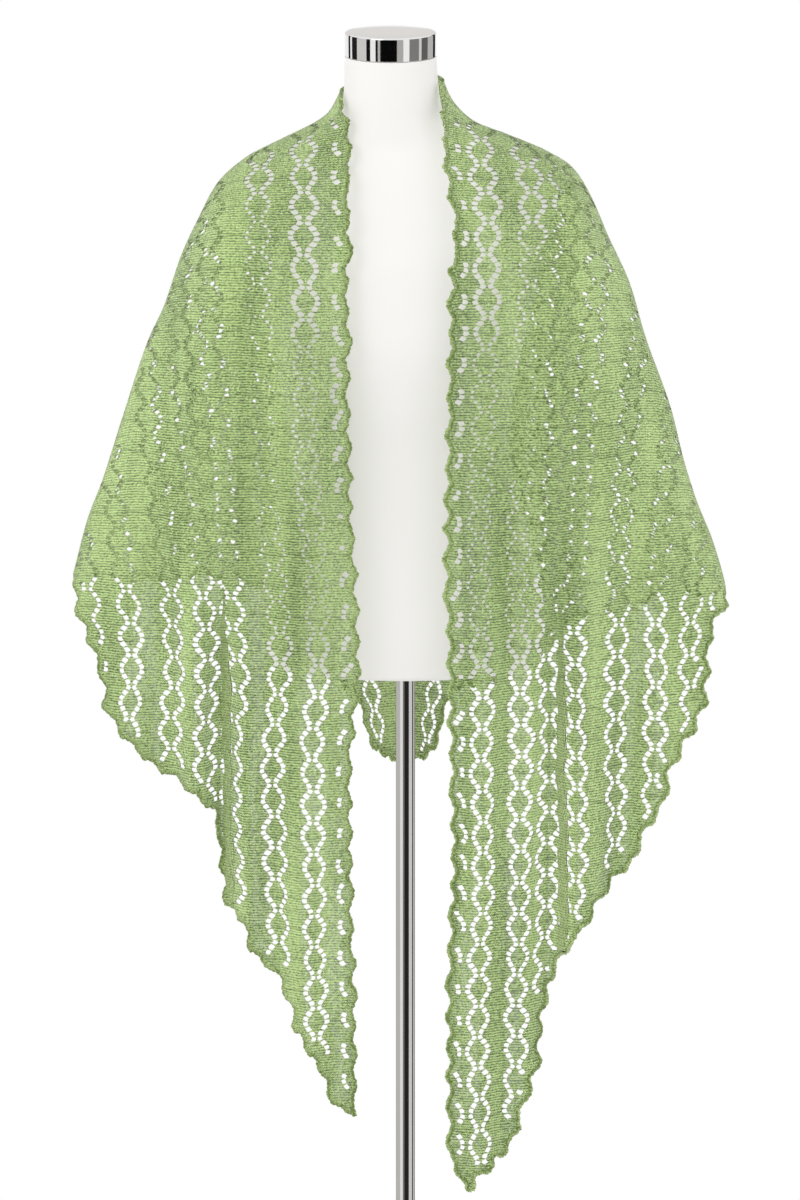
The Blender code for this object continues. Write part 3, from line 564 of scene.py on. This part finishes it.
class Rim:
    """The layer's outline on the flat map: its loose edge in scallops, then the rest."""

    def __init__(self, layer):
        last = layer.half.last_column
        columns = np.append(np.arange(layer.first, last, GRID_STEP), last)
        hem = np.interp(columns, layer.columns, layer.hems)
        top = np.interp(columns, layer.columns, layer.tops)
        ridge = np.column_stack([columns, top])[::-1]
        loose = np.vstack([np.column_stack([columns, hem]), [[last, top[-1]]]])
        if layer.front:
            loose = np.vstack([[[layer.first, top[0]]], loose])
        base, self.along = self.even(loose)
        self.outward = self.turned_out(base)
        self.loose = base + self.outward * self.scallops(layer)[:, None]
        ridge, _ = self.even(np.vstack([ridge, loose[:1]]))
        self.polygon = np.vstack([self.loose, ridge[1:-1]])
        self.ruffle_shift = np.random.default_rng(layer.seed + 40).uniform(0, 6)
        ends = np.minimum(self.along, self.along[-1] - self.along)
        self.taper = BAND_THINNEST + (1 - BAND_THINNEST) * ease(ends / BAND_TAPER)

    def even(self, line):
        """The line's points again, one rim step apart, and how far along it each lies."""
        size = lengths(line)
        count = int(round(size[-1] / RIM_STEP))
        along = np.linspace(0, size[-1], count + 1)
        return np.column_stack([np.interp(along, size, line[:, axis]) for axis in range(2)]), along

    def turned_out(self, line):
        run = np.gradient(line, axis=0)
        smooth = np.ones(RIM_SMOOTHING) / RIM_SMOOTHING
        beyond = RIM_SMOOTHING // 2
        padded = np.pad(run, ((beyond, beyond), (0, 0)), mode="edge")
        run = [np.convolve(padded[:, axis], smooth, mode="valid") for axis in range(2)]
        outward = np.column_stack([run[1], -run[0]])
        return outward / np.linalg.norm(outward, axis=1)[:, None]

    def scallops(self, layer):
        """How far each point of the loose edge stands out, in uneven and ragged scallops."""
        rng = np.random.default_rng(layer.seed)
        along = self.along + waves(SCALLOP_DRIFT, self.along, 0, layer.seed)
        lobe = np.floor(along / SCALLOP_LENGTH).astype(int)
        size = rng.uniform(*SCALLOP_SIZES, lobe.max() + 2)[lobe]
        turn = np.pi * along / SCALLOP_LENGTH
        pointed = rng.uniform(*SCALLOP_POINTEDNESS, lobe.max() + 2)[lobe]
        rounded = np.abs(np.sin(turn)) ** SCALLOP_ROUNDNESS
        wave = rounded * (1 - pointed) + (1 - np.abs(np.cos(turn))) * pointed
        ragged = waves(RAGGED_WAVES, along, 0, 0, np.sin(along * RAGGED_SWAY))
        return (SCALLOP_DEPTH * size * wave + ragged - RIM_INSET) * self.end_fade(self.along)

    def end_fade(self, along):
        return ease(np.minimum(along, self.along[-1] - along) / SCALLOP_LENGTH)

    def ruffle(self, nearest, away):
        """How far the loose edge curls out of the cloth, near rim points and away from them."""
        along = self.along[nearest]
        wave = waves(RUFFLE_WAVES, along, 0, self.ruffle_shift)
        return RUFFLE_DEPTH * wave * (1 - ease(away / RUFFLE_REACH)) * self.end_fade(along)


def inside(polygon, points):
    """True for each point that lies in the polygon."""
    crossed = np.zeros(len(points), dtype=bool)
    x, y = points.T
    for (x0, y0), (x1, y1) in zip(polygon, np.roll(polygon, -1, axis=0)):
        if y0 == y1:
            continue
        spans = (y0 > y) != (y1 > y)
        crossed ^= spans & (x < (x1 - x0) * (y - y0) / (y1 - y0) + x0)
    return crossed


def nearest_of(line, points, batch=2000):
    """For each point, its nearest point of the line and how far off that is."""
    nearest = np.zeros(len(points), dtype=int)
    away = np.zeros(len(points))
    for start in range(0, len(points), batch):
        part = points[start:start + batch]
        gap = (part[:, None, 0] - line[None, :, 0]) ** 2 + (part[:, None, 1] - line[None, :, 1]) ** 2
        best = gap.argmin(axis=1)
        nearest[start:start + batch] = best
        away[start:start + batch] = np.sqrt(gap[np.arange(len(part)), best])
    return nearest, away


def lace_offset(up):
    """Distance from a chain's middle to its lines of holes, at a height along the cloth."""
    row = (-up % DIAMOND_PERIOD) / (DIAMOND_PERIOD / LACE_ROWS)
    return np.interp(row, np.arange(LACE_ROWS + 1), LACE_OFFSETS + LACE_OFFSETS[:1])


def uneven(flat, seed):
    """Knitting is never regular: its columns wander and its rows rise and fall."""
    across, up = np.moveaxis(flat, -1, 0)
    wander = [waves(rows, across, up, seed) for rows in (COLUMN_WANDER, ROW_WANDER)]
    return flat + UNEVENNESS * np.stack(wander, axis=-1)


def hole_size(layer, across, up):
    """The holes' share of their full size: less where the cloth lies double or on the form."""
    closed = ease((up - CLOSED_ABOVE) / CLOSED_FADE)
    if not layer.front:
        return 1 - closed * CLOSED_DOUBLE
    on_form = across < FORM_COLUMNS
    beyond = CHEST_SLOPE * max(across - CHEST_COLUMNS, 0)
    chest = ease((up - CHEST_ABOVE - beyond) / CHEST_FADE) * on_form
    closed = closed * (1 - chest) * (across > EDGE_COLUMNS)
    return 1 - closed * (CLOSED_ON_FORM if on_form else CLOSED_DOUBLE)


def lace_lattice(layer):
    """Points of the knit on the flat map, and which of its cells are holes."""
    pitch = DIAMOND_PERIOD / LACE_ROWS
    first = int(np.floor(layer.hems.min() / pitch)) - 3
    final = int(np.ceil(layer.tops.max() / pitch)) + 2
    rows = np.arange(first, final)
    third = np.tile([-1, 0, 1], len(rows))
    middle = np.repeat(rows, 3) * pitch
    near = 0.001
    slope = (lace_offset(middle + near) - lace_offset(middle - near)) / (2 * near)
    corner = np.abs(third) * CORNER_ROUNDING
    flat = []
    centres = CHAINS[layer.name]
    centres = [centres[0] - CHAIN_SPACING] + centres + [centres[-1] + CHAIN_SPACING]
    for centre, after in zip(centres, centres[1:]):
        size = hole_size(layer, centre, middle)
        half_hole = HOLE_WIDTH / 2 * size
        half_high = HOLE_HEIGHT / 2 * size
        up = middle + third * half_high
        offset = lace_offset(up)
        inner = 2 * (offset - half_hole)
        outer = after - centre - 2 * (offset + half_hole)
        for side, cells, gap in ((-1, MIDDLE_CELLS, inner), (1, PANEL_CELLS, outer)):
            line = centre + side * offset
            for u in (-1, 0, 1):
                across = line + u * (1 - corner) * half_hole
                tilt = -side * slope * u * half_hole * HOLE_TILT
                rounded = -third * abs(u) * CORNER_ROUNDING * half_high
                flat.append(np.column_stack([across, up + tilt + rounded]))
            for k in range(1, cells):
                flat.append(np.column_stack([line + half_hole + gap * k / cells, up]))
    flat = np.array(flat).transpose(1, 0, 2)
    rng = np.random.default_rng(layer.seed + 7)
    flat = uneven(flat, layer.seed) + rng.normal(0, YARN_SCATTER, flat.shape)
    in_repeat = np.arange(flat.shape[1] - 1) % REPEAT_CELLS
    second_line = 3 + MIDDLE_CELLS - 1
    in_line = np.isin(in_repeat, [0, 1, second_line, second_line + 1])
    is_hole = (np.arange(len(up) - 1) % 3 < 2)[:, None] & in_line[None, :]
    is_hole[:, :REPEAT_CELLS] = False
    return flat, is_hole


def knit_cells(layer, rim):
    """Flat points and cells of the layer, cut to its rim, with the lace holes left out."""
    flat, is_hole = lace_lattice(layer)
    rows, columns = flat.shape[:2]
    points = flat.reshape(-1, 2)
    held = inside(rim.polygon, points).reshape(rows, columns)
    nearest, away = nearest_of(rim.loose, points)
    clear = held & (away > HOLE_INSET).reshape(rows, columns)
    open_cell = is_hole.copy()
    for r in range(0, rows - 2, 3):
        blocks = np.all([clear[r + a, b:columns - 2 + b] for a in range(3) for b in range(3)], axis=0)
        for c in np.nonzero(is_hole[r, :-1] & is_hole[r, 1:])[0]:
            if not blocks[c]:
                open_cell[r:r + 2, c:c + 2] = False
    index = np.arange(rows * columns).reshape(rows, columns)
    cells = np.stack([index[:-1, :-1], index[:-1, 1:], index[1:, 1:], index[1:, :-1]], axis=-1)
    kept = held[:-1, :-1] | held[1:, :-1] | held[:-1, 1:] | held[1:, 1:]
    cells = cells[kept & ~open_cell]
    outside = np.setdiff1d(np.unique(cells), np.nonzero(held.reshape(-1))[0])
    onto, _ = nearest_of(rim.polygon, points[outside])
    points = points.copy()
    points[outside] = rim.polygon[onto]
    used, cells = np.unique(cells, return_inverse=True)
    return points[used], cells.reshape(-1, 4), nearest[used], away[used]


def add_object(name, data):
    """Puts a mesh, light or camera into the scene under that name."""
    made = bpy.data.objects.new(name, data)
    bpy.context.scene.collection.objects.link(made)
    return made


def knitted(name, points, faces, marks, facing=None):
    """A piece of knitting, with its place on the flat map counted in stitches."""
    mesh = bpy.data.meshes.new(name)
    mesh.from_pydata(points.tolist(), [], faces)
    corners = np.zeros(len(mesh.loops), dtype=int)
    mesh.loops.foreach_get("vertex_index", corners)
    layer = mesh.uv_layers.new(name="knit")
    stitches = marks[corners] / (STITCH_WIDTH, STITCH_HEIGHT)
    layer.data.foreach_set("uv", stitches.ravel())
    mesh.validate(clean_customdata=False)
    mesh.shade_smooth()
    if facing is not None:
        mesh.normals_split_custom_set_from_vertices(facing.tolist())
    return add_object(name, mesh)


def shell_mesh(name, points, normals, cells, marks, flip):
    """A closed thin shell round a sheet of cells, with the sheet's smooth normals."""
    count = len(points)
    outer = points + normals * CLOTH_THICKNESS / 2
    inner = points - normals * CLOTH_THICKNESS / 2
    edges = np.concatenate([cells[:, [k, (k + 1) % 4]] for k in range(4)])
    keys = edges.min(axis=1).astype(np.int64) * count + edges.max(axis=1)
    _, first, times = np.unique(keys, return_index=True, return_counts=True)
    rim = edges[first[times == 1]]
    rim = rim[rim[:, 0] != rim[:, 1]]
    sides = np.column_stack([rim[:, 1], rim[:, 0], rim[:, 0] + count, rim[:, 1] + count])
    faces = np.concatenate([cells, cells[:, ::-1] + count, sides])
    if flip:
        faces = faces[:, ::-1]
    facing = np.vstack([normals, -normals])
    return knitted(name, np.vstack([outer, inner]), faces.tolist(), np.vstack([marks, marks]), facing)


def band_mesh(name, layer, line, taper, lift, flip):
    """A rolled band of dense knitting that follows a line of the flat map."""
    middle, normal = layer.place(line, lift)
    run = np.gradient(middle, axis=0)
    run = run / np.maximum(np.linalg.norm(run, axis=1), 1e-9)[:, None]
    across = np.cross(normal, run)
    across = across / np.maximum(np.linalg.norm(across, axis=1), 1e-9)[:, None]
    normal = np.cross(run, across)
    along = lengths(middle)
    reach = RIM_BAND * taper
    thickness = RIM_BAND_THICKNESS * taper
    count = len(line)
    i = np.arange(count - 1)
    rings = []
    marks = []
    faces = []
    for k in range(BAND_SIDES):
        angle = 2 * math.pi * k / BAND_SIDES
        ring = middle + across * (reach * math.cos(angle))[:, None]
        rings.append(ring + normal * (thickness * math.sin(angle))[:, None])
        marks.append(np.column_stack([along, k * reach * 2 / BAND_SIDES]))
        here = k * count + i
        there = (k + 1) % BAND_SIDES * count + i
        faces.append(np.column_stack([here, here + 1, there + 1, there]))
    faces = np.concatenate(faces)
    if flip:
        faces = faces[:, ::-1]
    faces = faces.tolist()
    faces.append([k * count for k in range(BAND_SIDES)][::-1 if flip else 1])
    faces.append([k * count + count - 1 for k in range(BAND_SIDES)][::1 if flip else -1])
    return knitted(name, np.concatenate(rings), faces, np.concatenate(marks))


def joined(name, parts):
    """One piece out of several meshes."""
    bpy.ops.object.select_all(action="DESELECT")
    for part in parts:
        part.select_set(True)
    bpy.context.view_layer.objects.active = parts[0]
    bpy.ops.object.join()
    parts[0].name = name
    parts[0].data.name = name
    return parts[0]


def lace_layer(half, front, seed):
    """The lace and the edging of one layer."""
    layer = Layer(half, front, seed)
    rim = Rim(layer)
    flat, cells, nearest, away = knit_cells(layer, rim)
    points, normals = layer.place(flat, rim.ruffle(nearest, away))
    flip = front == (half.side < 0)
    lace = shell_mesh("lace_" + layer.name, points, normals, cells, flat, flip)
    line = rim.loose - rim.outward * (BAND_OVERLAP * RIM_BAND * rim.taper)[:, None]
    _, away = nearest_of(rim.loose, line)
    lift = rim.ruffle(np.arange(len(line)), away)
    bands = [band_mesh("band", layer, line, rim.taper, lift, not flip)]
    if not front:
        columns = np.arange(CENTRE_BACK_COLUMN, FRONT_EDGE_COLUMN + RIM_STEP / 2, RIM_STEP)
        top = np.interp(columns, layer.columns, layer.tops)
        neck = np.column_stack([columns, top - RIM_BAND])
        bands.append(band_mesh("band", layer, neck, np.ones(len(neck)), 0, flip))
    return lace, bands, layer


def pleat(layer, fold):
    """A narrow pleat of plain knitting that lies along a fold, from its top down to the hem."""
    out_top, out_foot, top, foot = fold
    heights = np.linspace(top, foot, PLEAT_ROWS)
    outs = out_top + (out_foot - out_top) * (top - heights) / (top - foot)
    spread = smooth_table(FRONT_FAN, heights)
    across = FRONT_EDGE_COLUMN + (outs - layer.half.edge_out(heights)) / spread
    flat = []
    for column, height in zip(across, heights):
        index = int(round((column - layer.columns[0]) / GRID_STEP))
        up = np.interp(height, layer.places[index, :, 2], layer.ups)
        hem = np.interp(column, layer.columns, layer.hems)
        flat.append((column, max(up, hem + PLEAT_ABOVE_HEM)))
    flat = np.array(flat)
    share = np.linspace(-1, 1, PLEAT_LINES)
    grown = ease((top - heights) / PLEAT_TAPER)[:, None]
    half_width = PLEAT_HALF_WIDTH * (PLEAT_THINNEST + (1 - PLEAT_THINNEST) * grown)
    columns = flat[:, :1] + share * half_width + waves(PLEAT_WAVES, 0, heights, 0)[:, None]
    marks = np.stack([columns, np.repeat(flat[:, 1:], PLEAT_LINES, axis=1)], axis=-1)
    raised = PLEAT_LIFT * (1 - share ** 4) * grown
    flat = marks.reshape(-1, 2)
    points, normals = layer.place(flat, raised.reshape(-1))
    index = np.arange(len(points)).reshape(PLEAT_ROWS, PLEAT_LINES)
    cells = np.stack([index[:-1, :-1], index[1:, :-1], index[1:, 1:], index[:-1, 1:]], axis=-1)
    name = "pleat_" + layer.half.word
    return shell_mesh(name, points, normals, cells.reshape(-1, 4), flat, layer.half.side < 0)


def form_centre(height):
    return FORM_CENTRE_X + FORM_LEAN * (height - FORM_FOOT) / (FORM_CROWN - FORM_FOOT)


def form_rise(height, out):
    """The lean lifts one shoulder and lowers the other; the foot and crown stay level."""
    leaning = ease((height - FORM_FOOT) / LEVEL_FOOT) * ease((FORM_CROWN - height) / LEVEL_CROWN)
    return -FORM_LEAN * out / (FORM_CROWN - FORM_FOOT) * float(leaning)


def skin(name, rings, sharp):
    """A closed mesh through rings of points, smooth but for edges sharper than an angle."""
    sides = len(rings[0])
    faces = []
    for r in range(len(rings) - 1):
        for k in range(sides):
            here = r * sides + k
            there = r * sides + (k + 1) % sides
            faces.append((here, there, there + sides, here + sides))
    faces.append(tuple(range(sides))[::-1])
    faces.append(tuple(range((len(rings) - 1) * sides, len(rings) * sides)))
    mesh = bpy.data.meshes.new(name)
    mesh.from_pydata([point for ring in rings for point in ring], [], faces)
    mesh.validate()
    mesh.shade_smooth()
    mesh.set_sharp_from_angle(angle=math.radians(sharp))
    return add_object(name, mesh)


def form_skin():
    """The dress form, finer than its solid and with a softly rounded foot."""
    turn = np.linspace(0, math.pi / 2, FOOT_ROWS)
    heights = np.concatenate([FORM_FOOT + FOOT_ROUNDING * (1 - np.cos(turn)),
                              np.linspace(FORM_FOOT + FOOT_CLEAR, FORM_CROWN, FORM_ROWS)])
    below = 1 - np.clip((heights - FORM_FOOT) / FOOT_ROUNDING, 0, 1)
    shrink = FOOT_ROUNDING * (1 - np.sqrt(1 - below ** 2))
    rings = []
    for height, less in zip(heights, shrink):
        wide, front, back = (float(smooth_table(FORM_SECTIONS, height, k)) for k in (1, 2, 3))
        ring = []
        for k in range(SKIN_SIDES):
            angle = 2 * math.pi * k / SKIN_SIDES
            out = (wide - less) * math.cos(angle)
            depth = ((back if math.sin(angle) > 0 else front) - less) * math.sin(angle)
            ring.append((form_centre(height) + out, depth, height + form_rise(height, out)))
        rings.append(ring)
    return skin("torso_skin", rings, FORM_SHARP)


def turned_skin(name, profile, centre_x=0.0):
    """A turned piece from rows of radius and height."""
    angles = [2 * math.pi * k / SKIN_SIDES for k in range(SKIN_SIDES)]
    rings = [[(centre_x + radius * math.cos(a), radius * math.sin(a), height) for a in angles]
             for radius, height in profile]
    return skin(name, rings, TURNED_SHARP)


def cap_profile():
    """The neck cap from its foot over its rounded shoulder to its hardly domed top."""
    inner = CAP_RADIUS - CAP_ROUNDING
    lower = CAP_HEIGHT - CAP_ROUNDING
    shoulder = [(inner + CAP_ROUNDING * math.cos(a), lower + CAP_ROUNDING * math.sin(a))
                for a in np.linspace(0, math.pi / 2, CAP_ROUNDING_ROWS)]
    return [(radius, FORM_CROWN + rise) for radius, rise in CAP_FOOT + shoulder + CAP_TOP]


class Nodes:
    """Short words for a material's nodes."""

    def __init__(self, tree):
        self.tree = tree

    def feed(self, node, inputs):
        """Links sockets and sets values, by the name or number of the node's input."""
        for key, value in inputs.items():
            if isinstance(value, bpy.types.NodeSocket):
                self.tree.links.new(value, node.inputs[key])
            else:
                node.inputs[key].default_value = value

    def add(self, kind, inputs, **settings):
        """The outputs of a new node."""
        made = self.tree.nodes.new(kind)
        for key, value in settings.items():
            setattr(made, key, value)
        self.feed(made, inputs)
        return made.outputs

    def maths(self, operation, *values):
        return self.add("ShaderNodeMath", dict(enumerate(values)), operation=operation)[0]

    def plus(self, first, second):
        return self.maths("ADD", first, second)

    def less(self, first, second):
        return self.maths("SUBTRACT", first, second)

    def times(self, first, second):
        return self.maths("MULTIPLY", first, second)

    def larger(self, first, second):
        return self.maths("MAXIMUM", first, second)

    def size(self, value):
        return self.maths("ABSOLUTE", value)

    def fraction(self, value):
        return self.maths("FRACT", value)

    def sine(self, value):
        return self.maths("SINE", value)

    def place(self):
        return self.add("ShaderNodeTexCoord", {})["Object"]

    def axes(self, vector):
        return self.add("ShaderNodeSeparateXYZ", {0: vector})

    def mix(self, share, first, second):
        inputs = {"Factor": share, 6: first, 7: second}
        return self.add("ShaderNodeMix", inputs, data_type="RGBA")[2]

    def noise(self, where, scale, detail=2.0):
        inputs = {"Vector": where, "Scale": scale, "Detail": detail}
        return self.add("ShaderNodeTexNoise", inputs)["Fac"]

    def ramp(self, value, low, high):
        inputs = {"Value": value, "From Min": low, "From Max": high}
        return self.add("ShaderNodeMapRange", inputs, clamp=True)["Result"]

    def bump(self, height, distance):
        inputs = {"Height": height, "Distance": distance, "Strength": 1.0}
        return self.add("ShaderNodeBump", inputs)["Normal"]


def new_finish(name):
    """A new material with its shader, and a helper to wire it."""
    made = bpy.data.materials.new(name)
    made.use_nodes = True
    nodes = Nodes(made.node_tree)
    shader = made.node_tree.nodes["Principled BSDF"]
    return made, nodes, shader


def stitch_height(nodes, u, v):
    """Columns of V stitches: one stitch across for each unit of u and one up for each of v."""
    across = nodes.times(nodes.size(nodes.less(nodes.fraction(u), 0.5)), 2.0)
    phase = nodes.fraction(nodes.less(v, nodes.times(across, STITCH_SLANT)))
    along = nodes.sine(nodes.times(phase, math.pi))
    body = nodes.plus(nodes.times(along, STITCH_RELIEF), 1 - STITCH_RELIEF)
    leg = nodes.size(nodes.sine(nodes.times(across, math.pi)))
    return nodes.times(nodes.maths("POWER", leg, LEG_ROUNDNESS), body)


def painted_fold_shading(nodes, place):
    """Painted light and shade in bands that run down the cloth, standing in for the shading of soft
    folds.
    """
    inputs = {0: place, 1: FOLD_STRETCH}
    stretched = nodes.add("ShaderNodeVectorMath", inputs, operation="MULTIPLY")
    return nodes.noise(stretched[0], FOLD_SCALE)


def darker_rows(nodes, u, v):
    """A slightly bowed line between one row of diamonds and the next."""
    rows = nodes.times(v, STITCH_HEIGHT / DIAMOND_PERIOD)
    bow = nodes.times(nodes.sine(nodes.times(u, ROW_BOW_RATE)), ROW_BOW)
    cycle = nodes.fraction(nodes.plus(rows, bow))
    away = nodes.size(nodes.less(cycle, 0.5))
    return nodes.less(1.0, nodes.ramp(away, 0.0, ROW_HALF_WIDTH))


def kept_light(nodes, place):
    """The share of shadow and bounced light that the weave stops, less where it hangs clear."""
    ray = nodes.add("ShaderNodeLightPath", {})
    passing = nodes.larger(ray["Is Shadow Ray"], ray["Is Diffuse Ray"])
    room = nodes.axes(place)
    beside = nodes.ramp(nodes.size(room[0]), *BESIDE_FORM)
    between = nodes.ramp(nodes.size(room[0]), *BETWEEN_EDGES)
    above = nodes.times(nodes.ramp(room[2], *OVER_SHOULDER), SHOULDER_SHARE)
    below = nodes.ramp(room[2], *BELOW_FORM)
    clear = nodes.larger(nodes.larger(nodes.larger(beside, between), below), above)
    through = nodes.plus(LIGHT_LET_THROUGH, nodes.times(clear, EXTRA_LIGHT))
    return nodes.less(1.0, nodes.times(passing, through))


def knit_finish(name, light, dark, pores):
    """Plain knitting: small V stitches of a mottled yarn with painted shade in their hollows, pores
    between them, and painted fold shade.
    """
    made, nodes, shader = new_finish(name)
    marks = nodes.axes(nodes.add("ShaderNodeUVMap", {}, uv_map="knit")[0])
    place = nodes.place()
    shift = nodes.times(nodes.less(nodes.noise(place, DRIFT_SCALE), 0.5), STITCH_DRIFT)
    u = nodes.plus(marks[0], shift)
    v = nodes.plus(marks[1], shift)
    height = stitch_height(nodes, u, v)
    ply = nodes.noise(place, PLY_SCALE, 4.0)
    # Stitch height paints shade into the hollows between stitches and highlight onto their crowns;
    # the ply adds mottling.
    shade = nodes.plus(nodes.times(height, STITCH_PAINTED_SHADE), nodes.times(ply, PLY_TONE))
    # Painted light and shade of soft folds, in bands down the cloth.
    folds = nodes.times(nodes.less(painted_fold_shading(nodes, place), 0.5), FOLD_PAINTED_SHADE)
    tone = nodes.ramp(nodes.plus(shade, folds), *TONE_RANGE)
    tone = nodes.times(tone, nodes.less(1.0, nodes.times(darker_rows(nodes, u, v), ROW_SHADE)))
    relief = nodes.plus(height, nodes.times(ply, PLY_RELIEF))
    nodes.feed(shader, {
        "Base Color": nodes.mix(tone, dark, light),
        "Roughness": 0.88,
        "Specular IOR Level": 0.25,
        "Sheen Weight": 0.25,
        "Sheen Roughness": 0.5,
        "Normal": nodes.bump(relief, KNIT_RELIEF),
    })
    if pores > 0:
        filled = nodes.plus(height, nodes.times(ply, PLY_IN_PORES))
        solid = nodes.ramp(filled, pores, pores + PORE_EDGE)
        nodes.feed(shader, {"Alpha": nodes.times(solid, kept_light(nodes, place))})
    return made


def shell_finish():
    """Satin white moulded shell with faint mottling."""
    made, nodes, shader = new_finish("white shell")
    place = nodes.place()
    cloud = nodes.noise(place, CLOUD_SCALE, 3.0)
    grain = nodes.noise(place, GRAIN_SCALE)
    nodes.feed(shader, {
        "Base Color": nodes.mix(cloud, *SHELL_TONES),
        "Roughness": nodes.plus(nodes.times(cloud, 0.12), 0.42),
        "Normal": nodes.bump(grain, SHELL_RELIEF),
    })
    return made


def chrome_finish():
    """Polished chrome with a little haze and faint wiping marks."""
    made, nodes, shader = new_finish("polished chrome")
    haze = nodes.noise(nodes.place(), HAZE_SCALE, 4.0)
    nodes.feed(shader, {
        "Base Color": nodes.mix(haze, *CHROME_TONES),
        "Metallic": 1.0,
        "Roughness": nodes.plus(nodes.times(haze, 0.05), 0.03),
    })
    return made


def card(name, angle_from, angle_to, grey, radius, low, high):
    """A card round the pole's axis that only mirror-like surfaces see."""
    count = int(abs(angle_to - angle_from) / CARD_ARC) + 2
    points = [(radius * math.sin(angle), -radius * math.cos(angle), height)
              for angle in np.radians(np.linspace(angle_from, angle_to, count))
              for height in (low, high)]
    faces = [(2 * k, 2 * k + 1, 2 * k + 3, 2 * k + 2) for k in range(count - 1)]
    mesh = bpy.data.meshes.new(name)
    mesh.from_pydata(points, [], faces)
    made = add_object(name, mesh)
    finish = bpy.data.materials.new(name)
    finish.use_nodes = True
    nodes = Nodes(finish.node_tree)
    level = (grey / 255) ** SCREEN_GAMMA
    colour = (level * (1 + CARD_WARMTH), level, level * (1 - CARD_WARMTH), 1)
    glow = nodes.add("ShaderNodeEmission", {"Color": colour})[0]
    nodes.feed(finish.node_tree.nodes["Material Output"], {"Surface": glow})
    mesh.materials.append(finish)
    for kind in ("camera", "diffuse", "shadow", "transmission", "volume_scatter"):
        setattr(made, "visible_" + kind, False)


def worn(piece, finish, slot, nodes):
    """Gives a piece its finish, hangs it under the root and hides the solids that it stands for."""
    piece.data.materials.clear()
    piece.data.materials.append(finish)
    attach(piece, "root")
    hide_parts(*nodes)
    piece.visible_glossy = slot != "knit"
    return piece


left = HalfWrap("left", -1, RIDGE_LEFT, FRONT_EDGE_LEFT, FRONT_HEM_LEFT, BACK_HEM_LEFT,
                FRONT_FOLDS_LEFT, BACK_FOLDS_LEFT)
right = HalfWrap("right", 1, RIDGE_RIGHT, FRONT_EDGE_RIGHT, FRONT_HEM_RIGHT, BACK_HEM_RIGHT,
                 FRONT_FOLDS_RIGHT, BACK_FOLDS_RIGHT)
lace = knit_finish("spring green knit", YARN_LIGHT, YARN_DARK, PORES)
edge = knit_finish("dense green edging", EDGING_LIGHT, EDGING_DARK, 0.0)
shell = shell_finish()
chrome = chrome_finish()

torso = worn(form_skin(), shell, "form_shell", ["form_torso"])
cap = turned_skin("cap_skin", cap_profile(), form_centre(FORM_CROWN))
worn(cap, chrome, "chrome", ["neck_cap"])
pole = turned_skin("pole_skin", POLE_PROFILE)
worn(pole, chrome, "chrome", ["pole"])
base = turned_skin("base_skin", BASE_PROFILE)
worn(base, chrome, "chrome", ["base_plate"])

for half in (left, right):
    edging = []
    solids = ["wrap_" + half.word]
    for front, seed in zip((True, False), SEEDS[half.word]):
        piece, bands, layer = lace_layer(half, front, seed)
        if front:
            fold = worn(pleat(layer, PLEATS[half.word]), edge, "knit", solids)
        worn(piece, lace, "knit", solids)
        edging += bands
    edging = worn(joined("edging_" + half.word, edging), edge, "knit", solids)

# The stage: a pale floor, the cards that the chrome mirrors, a white room and one soft light
bpy.ops.mesh.primitive_circle_add(vertices=96, radius=1.0, fill_type="NGON", location=(0, 0, 0))
floor = bpy.context.active_object
floor.name = "floor"
pale, nodes, shader = new_finish("pale floor")
nodes.feed(shader, {"Base Color": FLOOR_TONE, "Roughness": 0.8})
floor.data.materials.append(pale)

for name, rows, radius, low, high in CARD_RINGS:
    for angle_from, angle_to, grey in rows:
        card(name, angle_from, angle_to, grey, radius, low, high)

world = bpy.data.worlds.new("white room")
world.use_nodes = True
background = world.node_tree.nodes["Background"]
Nodes(world.node_tree).feed(background, {"Color": (1, 1, 1, 1), "Strength": 1.0})
bpy.context.scene.world = world

key = bpy.data.lights.new("key", "AREA")
key.shape = "RECTANGLE"
key.size, key.size_y = KEY_SIZE
key.energy = KEY_ENERGY
key_light = add_object("key", key)
key_light.location = KEY_PLACE
key_light.rotation_euler = Vector(KEY_AIM).to_track_quat("-Z", "Y").to_euler()

seen = bpy.data.cameras.new("camera")
seen.sensor_fit = "VERTICAL"
seen.sensor_height = CAMERA_SENSOR
seen.lens = CAMERA_LENS
seen.clip_end = 100
camera = add_object("camera", seen)
camera.location = CAMERA_PLACE
camera.rotation_euler = (math.radians(90 - CAMERA_PITCH), 0, 0)
bpy.context.scene.camera = camera
view = bpy.context.scene.view_settings
view.view_transform = "Standard"
view.look = "None"
view.exposure = 0
view.gamma = 1
